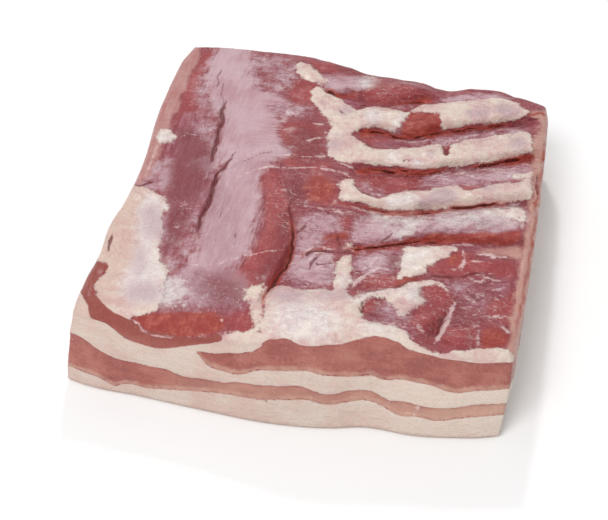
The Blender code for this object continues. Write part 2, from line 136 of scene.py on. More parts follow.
@dataclass(frozen=True)
class PhotoEye:
    """The photograph's viewpoint: a long lens that looks down on the slab from the front."""

    turn: float = 11.93
    tilt: float = 42.0
    distance: float = 0.8183
    aim: tuple[float, float, float] = (-0.0058, -0.0371, 0.0276)
    lens: float = 82.9
    sensor: float = 36.0

    @property
    def back(self) -> Vector:
        """Direction from the aim point to the camera."""
        turn, tilt = math.radians(self.turn), math.radians(self.tilt)
        return Vector((math.sin(turn) * math.cos(tilt), -math.cos(turn) * math.cos(tilt), math.sin(tilt)))

    @property
    def place(self) -> Vector:
        """Where the camera stands."""
        return Vector(self.aim) + self.back * self.distance

    def on_level(self, x: Array, y: Array, z: Array, level: float) -> tuple[Array, Array]:
        """Follow the sight line through each point to a level plane.

        Args:
            x: Points across.
            y: Points along.
            z: Heights of the points.
            level: Height of the plane.

        Returns:
            Where each sight line meets the plane, across and along.
        """
        eye = self.place
        share = (level - eye.z) / (z - eye.z)
        return eye.x + (x - eye.x) * share, eye.y + (y - eye.y) * share

    def build(self) -> bpy.types.Object:
        """Stand the camera in its place and make it the scene's own.

        Returns:
            The camera.
        """
        data = bpy.data.cameras.new("photo_camera")
        data.lens = self.lens
        data.sensor_width = self.sensor
        camera = bpy.data.objects.new("photo_camera", data)
        bpy.context.scene.collection.objects.link(camera)
        camera.location = self.place
        camera.rotation_euler = self.back.to_track_quat("Z", "Y").to_euler()
        bpy.context.scene.camera = camera
        return camera


@dataclass(frozen=True)
class SlabPlan:
    """Outline of the slab from above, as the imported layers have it."""

    half_width: float = 124.5 * MM
    half_depth: float = 142.0 * MM
    front_left_corner: float = 15.0 * MM
    front_right_corner: float = 22.0 * MM
    back_left_corner: float = 25.0 * MM
    back_right_corner: float = 20.0 * MM
    corner_share: float = 0.29
    front_left_inset: float = 4.0 * MM
    left_front_end: float = -128.0 * MM
    right_end: float = 122.0 * MM
    front_foot: HandLine = HandLine(((-124.5, -131), (-116, -133.5), (-104, -136.3), (-80, -137.5),
        (-47, -140), (1, -142), (31, -138.5), (46, -134.6), (76, -134.7), (106, -130), (124.5, -127)))
    front_rim: HandLine = HandLine(((-124.5, -123), (-100, -125), (-70, -127), (-40, -128.5), (-8, -129),
        (15, -128.5), (33, -125), (55, -120.5), (85, -121), (106, -118), (124.5, -116)))
    back_rim: HandLine = HandLine(((-124.5, 140), (-104, 142), (-70, 140), (-35, 138), (-15, 135.5), (5, 129),
        (24, 126), (44, 121.5), (55, 120), (71, 125.5), (90, 128.5), (105, 124), (124.5, 119)))
    left_rim: HandLine = HandLine(((-130, -116), (-94, -118), (-75, -117), (-52, -119), (-30, -117),
        (18, -117.5), (55, -121.5), (90, -123), (142, -122.5)))
    left_foot: HandLine = HandLine(((-142, -120), (-60, -122.5), (20, -121.5), (90, -124.5), (142, -124.5)))
    right_rim: HandLine = HandLine(((-130, 122), (-60, 124.5), (40, 124.5), (125, 122.5)))
    right_foot: HandLine = HandLine(((-142, 121), (-60, 120.5), (40, 119), (125, 118)))

    def corner_pull(self, place: Array, ends: tuple[float, float], radii: tuple[float, float]) -> Array:
        """How far an edge draws in beside the corners at its two ends.

        Args:
            place: Places along the edge.
            ends: Where the edge starts and ends.
            radii: How far each corner reaches along the edge.

        Returns:
            How far the edge draws in at each place.
        """
        low = np.clip(1.0 - (place - ends[0]) / radii[0], 0.0, 1.5) ** 2 * radii[0]
        high = np.clip(1.0 - (ends[1] - place) / radii[1], 0.0, 1.5) ** 2 * radii[1]
        return self.corner_share * np.maximum(low, high)

    def front(self, x: Array, foot: bool = False) -> Array:
        """The front edge.

        Args:
            x: Places across.
            foot: Whether to read it at the foot and not at the rim.

        Returns:
            Where it runs, along.
        """
        line = self.front_foot if foot else self.front_rim
        ends = (-self.half_width + self.front_left_inset, self.half_width)
        return line(x) + self.corner_pull(x, ends, (self.front_left_corner, self.front_right_corner))

    def back(self, x: Array) -> Array:
        """The back edge."""
        ends = (-self.half_width, self.half_width)
        return self.back_rim(x) - self.corner_pull(x, ends, (self.back_left_corner, self.back_right_corner))

    def left(self, y: Array, foot: bool = False) -> Array:
        """The left edge.

        Args:
            y: Places along.
            foot: Whether to read it at the foot and not at the rim.

        Returns:
            Where it runs, across.
        """
        line = self.left_foot if foot else self.left_rim
        ends = (self.left_front_end, self.half_depth)
        return line(y) + self.corner_pull(y, ends, (self.front_left_corner, self.back_left_corner))

    def right(self, y: Array, foot: bool = False) -> Array:
        """The right edge.

        Args:
            y: Places along.
            foot: Whether to read it at the foot and not at the rim.

        Returns:
            Where it runs, across.
        """
        line = self.right_foot if foot else self.right_rim
        ends = (-self.right_end, self.right_end)
        return line(y) - self.corner_pull(y, ends, (self.front_right_corner, self.back_right_corner))


@dataclass(frozen=True)
class RibSlit:
    """A slit left by a rib: a finger of meat stands behind it over a steep face."""

    points: Points
    reach: tuple[float, float]
    depth: float
    finger_width: float
    finger_rise: float
    face: float = 1.6
    floor: float = 8.0
    nick_width: float = 1.1
    nick_depth: float = 2.0
    fade: float = 7.0
    ridge_lean: float = 0.6

    def line(self, x: Array) -> Array:
        """Where the slit runs at a given x."""
        return HandLine(self.points)(x)

    def relief(self, x: Array, y: Array) -> Array:
        """Height that the slit and its finger add to the top.

        Args:
            x: Places across.
            y: Places along.

        Returns:
            The added height, below zero in the slit.
        """
        across = y - self.line(x)
        fade = ramp(x, (self.reach[0] - self.fade) * MM, (self.reach[0] + self.fade) * MM)
        fade *= 1.0 - ramp(x, (self.reach[1] - self.fade) * MM, (self.reach[1] + self.fade) * MM)
        width = np.where(across > 0.0, self.face, self.floor) * MM
        groove = self.depth * MM * hump(across, width)
        nick = self.nick_depth * MM * hump(across + 0.3 * MM, self.nick_width * MM)
        share = np.clip(across / (self.finger_width * MM), 0.0, 1.0)
        ridge = self.finger_rise * MM * np.sin(np.pi * share ** self.ridge_lean)
        return fade * (ridge - groove - nick)


@dataclass(frozen=True)
class Fold:
    """A crease or a ridge along a given path."""

    path: Points
    width: float
    rise: float

    def relief(self, x: Array, y: Array) -> Array:
        """Height that the fold adds to the top."""
        gap, along = path_distance(x, y, rounded(self.path, closed=False))
        return self.rise * MM * hump(gap, self.width * MM) * end_fade(along)


def path_distance(x: Array, y: Array, points: Points, closed: bool = False) -> tuple[Array, Array]:
    """Distance in plan from each place to a path.

    Args:
        x: Places across, in metres.
        y: Places along, in metres.
        points: The path's points, in millimetres.
        closed: Whether the last point joins the first.

    Returns:
        The distance at each place, in metres, and how far along the path its nearest point is, from 0 to 1.
    """
    path = np.array(points, dtype=float) * MM
    starts = path if closed else path[:-1]
    ends = np.roll(path, -1, axis=0) if closed else path[1:]
    lengths = np.hypot(*(ends - starts).T)
    before = np.concatenate([[0.0], np.cumsum(lengths)])
    nearest = np.full(np.shape(x), np.inf)
    along = np.zeros(np.shape(x))
    for number, (start, end) in enumerate(zip(starts, ends)):
        run = end - start
        share = np.clip(((x - start[0]) * run[0] + (y - start[1]) * run[1]) / (run @ run), 0.0, 1.0)
        gap = np.hypot(x - start[0] - share * run[0], y - start[1] - share * run[1])
        closer = gap < nearest
        nearest = np.where(closer, gap, nearest)
        along = np.where(closer, (before[number] + share * lengths[number]) / before[-1], along)
    return nearest, along


def end_fade(along: Array, share: float = 0.22) -> Array:
    """Thin a line out towards both of its ends."""
    return ramp(np.minimum(along, 1.0 - along) + 0.02, 0.0, share)


def rounded(points: Points | Trace, closed: bool, rounds: int = 2) -> Points:
    """Cut the corners of a path, as one does to draw a soft outline round a few points.

    Args:
        points: The path's points, as pairs or as x and y in turn.
        closed: Whether the last point joins the first.
        rounds: How many times every corner is cut.

    Returns:
        The softer path.
    """
    path = np.array(points, dtype=float).reshape(-1, 2)
    for _ in range(rounds):
        ends = np.roll(path, -1, axis=0) if closed else path[1:]
        starts = path if closed else path[:-1]
        near, far = 0.75 * starts + 0.25 * ends, 0.25 * starts + 0.75 * ends
        cut = np.stack([near, far], axis=1).reshape(-1, 2)
        path = cut if closed else np.vstack([path[:1], cut, path[-1:]])
    return [tuple(point) for point in path]


@dataclass(frozen=True)
class TopRelief:
    """Height of the top surface: soft swells, rib slits, creases and small lumps."""

    base: float = 50.0 * MM
    crease_depth: float = 1.6 * MM
    crease_width: float = 5.0 * MM
    step_drop: float = 3.5 * MM
    step_run: float = 12.0 * MM
    step_face: float = 1.5 * MM
    step_slit: float = 1.2 * MM
    swells: tuple[tuple[float, float, float, float, float], ...] = (
        (-46, 85, 26, 60, 2.5), (-40, -40, 22, 55, 4.0), (-106, 20, 14, 130, -2.5), (-98, -95, 22, 34, -3.5),
        (-62, -132, 34, 14, -4.0), (50, -118, 36, 30, 6.5), (6, -116, 24, 20, 3.0), (80, -60, 40, 60, 1.0),
        (24, 110, 26, 10, 4.5), (105, 112, 30, 16, -2.0),
    )
    slits: tuple[RibSlit, ...] = (
        RibSlit(((-124.5, -44), (26, -42.5), (35, -40.5), (45, -36.5), (65, -27.5), (80, -25.5), (95, -23.5),
            (124.5, -17.5)), (26, 119), 3.0, 19, 1.0),
        RibSlit(((-124.5, -8), (20, -4.5), (30, -6), (42, -6.5), (52, -4.5), (60, -0.5), (70, 3), (80, 6),
            (100, 13.5), (124.5, 21.5)), (20, 121), 4.0, 18, 2.0),
        RibSlit(((-124.5, 27), (14, 29), (25, 31), (45, 32), (52, 34), (57, 35), (67, 42), (82, 47), (90, 50),
            (100, 55), (124.5, 68)), (14, 121), 4.5, 23, 2.0),
        RibSlit(((-124.5, 67), (9, 67), (18, 71), (25, 70), (32, 67), (45, 70), (57, 78), (70, 83), (80, 86),
            (99, 96), (124.5, 102)), (9, 112), 4.5, 25, 2.0),
        RibSlit(((-124.5, 107), (-20, 103), (0, 103), (10, 98), (20, 98), (30, 102), (46, 107.5), (85, 112),
            (124.5, 108.5)), (-17, 48), 3.5, 20, 1.0),
    )
    crease: HandLine = HandLine(((-142, -72), (-90, -68), (-50, -65), (-25, -66), (0, -68), (30, -75),
        (60, -79), (85, -84), (142, -90)))
    flank_edge: HandLine = HandLine(((-142, -31), (-128, -30), (-115, -22), (-100, -16.5), (-75, -13),
        (-50, -10.5), (-38, -11), (-15, -18), (10, -12), (32, -8), (60, -9), (97, -28), (142, -46)))
    folds: tuple[Fold, ...] = (
        Fold(((28, -112), (33, -98), (38, -86), (48, -80), (60, -79), (74, -82)), 6.0, 2.5),
        Fold(((76, -110), (79, -98), (84, -86)), 3.5, -2.5),
        Fold(((77, -112), (80, -100), (83, -90), (86, -84)), 1.3, -1.6),
        Fold(((-65, 24), (-66, 12), (-68, 0), (-67, -12), (-66, -40), (-65, -52)), 1.3, -1.8),
        Fold(((-83, 80), (-80, 66), (-78, 50), (-76, 28), (-75, 14)), 1.4, -1.0),
        Fold(((-94, 110), (-91, 98), (-90, 88)), 1.2, -0.5),
        Fold(((-66, 6), (-58, 13), (-50, 23), (-42, 31), (-30, 34)), 1.8, -0.7),
        Fold(((-58, -8), (-52, 5), (-46, 13), (-38, 17), (-10, 22)), 1.8, 0.6),
        Fold(((-62, -78), (-50, -75), (-40, -69), (-29, -61), (-13, -54)), 1.2, 0.45),
        Fold(((-58, -17), (-57, -34)), 1.0, -0.5),
        Fold(((-45, -44), (-41, -58)), 1.0, -0.4),
        Fold(((40, -78), (52, -73), (60, -69), (66, -60), (80, -57), (90, -54)), 1.4, -1.2),
        Fold(((19, -35), (10, -39), (4, -46), (0, -54), (-2, -62)), 1.6, -0.9),
        Fold(((22, -54), (24, -66), (25, -82)), 3.5, 0.8),
        Fold(((-66, -101), (-64, -102)), 2.2, 0.9),
        Fold(((-108, 34), (-108, 29)), 3.5, 1.2),
        Fold(((31, 88), (29, 78), (30, 69)), 2.4, 0.9),
        Fold(((46, 88), (50, 78), (44, 70)), 6.0, 0.8),
        Fold(((62, 62), (64, 51)), 1.6, -1.2),
        Fold(((45, -86), (43, -91), (41, -97)), 4.0, 1.9),
        Fold(((73, -68), (78, -74), (80, -84)), 5.0, 2.0),
        Fold(((73, -88), (74, -98), (74, -108)), 4.6, 1.8),
        Fold(((90, -92), (93, -102), (92, -112)), 4.6, 1.5),
        Fold(((106, -66), (110, -84), (108, -104)), 6.0, 0.9),
        Fold(((84, -44), (98, -42), (114, -44)), 3.5, 0.9),
        Fold(((78, -52), (92, -50), (114, -56)), 2.0, -0.9),
        Fold(((88, -64), (100, -66), (114, -62)), 2.2, 0.8),
        Fold(((46, -102), (56, -97), (64, -90)), 3.0, 0.8),
        Fold(((-6, -28), (8, -30), (16, -26)), 4.0, 1.0),
        Fold(((8, -44), (14, -52), (12, -60)), 4.5, 1.1),
        Fold(((-4, -66), (6, -72), (14, -70)), 4.0, 0.8),
        Fold(((34, -46), (42, -50), (46, -60)), 4.5, 1.0),
        Fold(((30, -20), (40, -24), (46, -18)), 5.0, 0.8),
        Fold(((62, -14), (78, -12), (96, -8)), 4.0, 0.8),
        Fold(((-20, 60), (-32, 58), (-42, 54)), 4.0, 0.5),
        Fold(((-28, 98), (-38, 100)), 5.0, 0.5),
        Fold(((26, 108), (36, 109), (46, 108)), 3.5, 1.0),
        Fold(((4, 112), (14, 104)), 2.0, -0.8),
    )

    def height(self, x: Array, y: Array) -> Array:
        """Height of the top before it rolls over the rim.

        Args:
            x: Places across.
            y: Places along.

        Returns:
            The height at each place.
        """
        z = np.full(np.shape(x), self.base)
        for middle_x, middle_y, radius_x, radius_y, rise in self.swells:
            away = ((x / MM - middle_x) / radius_x) ** 2 + ((y / MM - middle_y) / radius_y) ** 2
            z += rise * MM * np.exp(-away)
        for slit in self.slits:
            z += slit.relief(x, y)
        shallow = self.crease_depth * hump(x - self.crease(y), self.crease_width)
        z -= shallow * ramp(y, -75.0 * MM, -45.0 * MM) * (1.0 - ramp(y, 75.0 * MM, 105.0 * MM))
        z -= self.flank_step(x, y)
        for fold in self.folds:
            z += fold.relief(x, y)
        return z + self.lumps(x, y)

    def flank_step(self, x: Array, y: Array) -> Array:
        """The drop beside the flank muscle, which stands over the meat on its right.

        Args:
            x: Places across.
            y: Places along.

        Returns:
            How far the top drops at each place.
        """
        beside = x - self.flank_edge(y)
        drop = np.where(beside > 0.0, hump(beside, self.step_run), hump(beside, self.step_face))
        slit = self.step_slit * hump(beside - 0.5 * MM, 1.0 * MM)
        fade = ramp(y, -112.0 * MM, -88.0 * MM) * (1.0 - ramp(y, -32.0 * MM, -8.0 * MM))
        return (self.step_drop * drop + slit) * fade

    def lumps(self, x: Array, y: Array) -> Array:
        """Small unevenness, softer on the flank and livelier on the rib side.

        Args:
            x: Places across.
            y: Places along.

        Returns:
            The added height at each place.
        """
        rib_side = ramp(x - self.flank_edge(y), -6.0 * MM, 10.0 * MM)
        wave = 0.6 * np.sin(x / (17.0 * MM) + 1.3) * np.sin(y / (23.0 * MM) - 0.4)
        broad = 0.7 * Lumps(3, (11.0, 9.0))(x, y) * (0.4 + 0.6 * rib_side)
        small = 0.38 * Lumps(5, (4.6, 3.8))(x, y) * (0.3 + 0.7 * rib_side)
        fibres = 0.12 * Lumps(8, (2.4, 26.0))(x + 0.12 * y, y) * (1.0 - rib_side)
        return (wave + broad + small + fibres) * MM


@dataclass(frozen=True)
class Layering:
    """Heights where fat and lean meet, on the front face and inside."""

    lower_floor: HandLine = HandLine(((-124.5, 11), (-111, 10.8), (-103, 10), (-97, 8), (-92, 5.8),
        (-86, 8.3), (-72, 8.5), (-60, 10.8), (-50, 12.5), (-40, 14.1), (-20, 15.8), (0, 17.4), (10, 19.1),
        (17, 19.9), (25, 17.4), (32, 17.6), (40, 19.1), (48, 19.9), (58, 16.6), (66, 13.3), (75, 14.1),
        (88, 12.5), (95, 14.1), (105, 15.8), (124.5, 16)))
    lower_roof: HandLine = HandLine(((-124.5, 32), (-110, 31), (-104, 27.6), (-100, 25.7), (-92, 23.2),
        (-75, 22.4), (-60, 22.4), (-55, 20.8), (-40, 21.6), (-30, 22.2), (-22, 24.2), (-12, 24.6), (0, 25.6),
        (14, 27.4), (19, 25.8), (26, 23.6), (32, 23.8), (38, 25.6), (50, 25.4), (60, 20.8), (68, 21.6),
        (78, 20.6), (90, 20.8), (105, 22.6), (124.5, 23)))
    upper_floor: HandLine = HandLine(((-46, 36.4), (-44, 35.2), (-40, 31.2), (-30, 29.2), (-17, 29.8),
        (-12, 32.4), (0, 34.9), (9, 36.3), (15, 37.1), (24, 35.2), (33, 34.4), (42, 34.4), (50, 34.6),
        (56, 32.6), (64, 34), (74, 34.2), (80, 34), (90, 31), (95, 30.2), (105, 31.2), (124.5, 32.4)))
    upper_roof: HandLine = HandLine(((-46, 36.4), (-44, 36.8), (-35, 37.4), (-28, 39), (-18, 41.4), (-12, 44),
        (-8, 48), (-4, 52), (0, 56), (30, 58), (124.5, 60)))
    flank_floor: HandLine = HandLine(((-124.5, 42.5), (-108, 44), (-101, 45), (-98, 43), (-92, 39.8),
        (-86, 36.6), (-78, 34.9), (-68, 34.1), (-60, 35.8), (-50, 39), (-42, 41.5), (-35, 44), (-31, 47.5),
        (-29, 54), (-20, 70), (124.5, 70)))
    inner: tuple[float, float, float, float, float] = (13.0, 23.0, 30.0, 37.5, 41.0)
    pinch: HandLine = HandLine(((-142, -44), (0, -50), (142, -64)))
    fade: float = 60.0 * MM
    front_foot: float = -142.0 * MM
    face_end: float = -112.0 * MM
    widest_gap: float = 9.0 * MM

    def heights(self, x: Array, y: Array) -> list[Array]:
        """Heights of the five meeting surfaces: as cut on the front face, wavy and level further in.

        Args:
            x: Places across.
            y: Places along.

        Returns:
            One list of heights a surface, from the lowest up.
        """
        near = np.exp(-np.clip(y - self.front_foot, 0.0, None) / self.fade)
        near = np.where(y < self.face_end, 1.0, near)
        waves = 1.1 * MM * np.sin(x / (26.0 * MM) + y / (19.0 * MM)) + 0.8 * MM * Lumps(21, (16, 16))(x, y)
        lines = (self.lower_floor, self.lower_roof, self.upper_floor, self.upper_roof, self.flank_floor)
        result = []
        for number, (line, deep) in enumerate(zip(lines, self.inner)):
            inner = deep * MM + waves * (1.0 + 0.3 * number)
            result.append(line(x) * near + inner * (1.0 - near))
        return result

    def floor_gap(self, x: Array, y: Array, z: Array) -> Array:
        """How far above the nearest underside of a lean layer each point is.

        Args:
            x: Points across.
            y: Points along.
            z: Heights of the points.

        Returns:
            The distance, which stops at the widest gap that counts.
        """
        heights, far = self.heights(x, y), self.widest_gap
        lower, upper = (np.where(z > heights[n] - 1.0 * MM, np.abs(z - heights[n]), far) for n in (0, 2))
        upper = np.where(x < self.pinch(y), far, upper)
        return np.minimum(np.minimum(lower, upper), far)

    def lean_depth(self, x: Array, y: Array, z: Array) -> Array:
        """How deep each point of a side face lies in lean, below zero in fat.

        Args:
            x: Points across.
            y: Points along.
            z: Heights of the points.

        Returns:
            Distance to the nearest edge of the lean, in metres.
        """
        heights = self.heights(x, y)
        lower = np.minimum(z - heights[0], heights[1] - z)
        upper = np.minimum(z - heights[2], heights[3] - z)
        upper = np.minimum(upper, (x - self.pinch(y)) * 0.5)
        upper -= 0.14 * np.clip(self.pinch(y) + 26.0 * MM - x, 0.0, None) * ramp(y, -110.0 * MM, -60.0 * MM)
        rib_cover = np.where(x > -28.0 * MM, ramp(y, -118.0 * MM, -100.0 * MM), 1.0)
        muscle = np.minimum(z - heights[4], rib_cover * 50.0 * MM - 10.0 * MM)
        return np.maximum(np.maximum(lower, upper), muscle)


class Tissue(Enum):
    """Kinds of tissue, and of painted shade, that a mark can lay on the meat, each with its own field on the
    skin.
    """

    BRIGHT = "bright"
    RAW = "raw"
    PURPLE = "purple"
    # Dark lean in some marks; in others, painted shade in valleys, beside the flank's slit and under muscle
    # domes.
    DARK = "dark"
    HAZE = "haze"
    FILM = "film"
    DUSK = "dusk"
    BLUSH = "blush"
    FAT = "fat"
    LILAC = "lilac"
    WHITE = "white"
    CUT = "cut"
    MOTTLE = "mottle"
    SINEW = "sinew"
    # Dark seam lines, and painted shade in creases and under muscle domes.
    SEAM_AND_CREASE_SHADE = "groove"
    # Painted shade in the bottoms of the rib slits and of the slit beside the flank muscle.
    SLIT_SHADE = "deep"


@dataclass(frozen=True)
class Patch:
    """A patch of tissue inside a given outline, which holds x and y in turn, in millimetres."""

    tissue: Tissue
    outline: Trace
    sharp: float = 1.0

    def field(self, x: Array, y: Array) -> Array:
        """Signed distance to the outline, less steep where it is unsharp.

        Args:
            x: Places across.
            y: Places along.

        Returns:
            The distance in millimetres, above zero inside.
        """
        line = rounded(self.outline, closed=True)
        gap, _ = path_distance(x, y, line, closed=True)
        inside = np.zeros(np.shape(x), dtype=bool)
        corners = np.array(line) * MM
        for start, end in zip(corners, np.roll(corners, -1, axis=0)):
            if start[1] == end[1]:
                continue
            crosses = (start[1] > y) != (end[1] > y)
            inside ^= crosses & (x < start[0] + (y - start[1]) / (end[1] - start[1]) * (end[0] - start[0]))
        return self.sharp * np.where(inside, gap, -gap) / MM


@dataclass(frozen=True)
class Streak:
    """A band of tissue along a given path, which holds x and y in turn, in millimetres."""

    tissue: Tissue
    path: Trace
    width: float

    def field(self, x: Array, y: Array) -> Array:
        """Signed distance to the band's edge in millimetres, above zero inside."""
        gap, along = path_distance(x, y, rounded(self.path, closed=False))
        return 0.5 * self.width * (1.25 * end_fade(along) - 0.25) - gap / MM


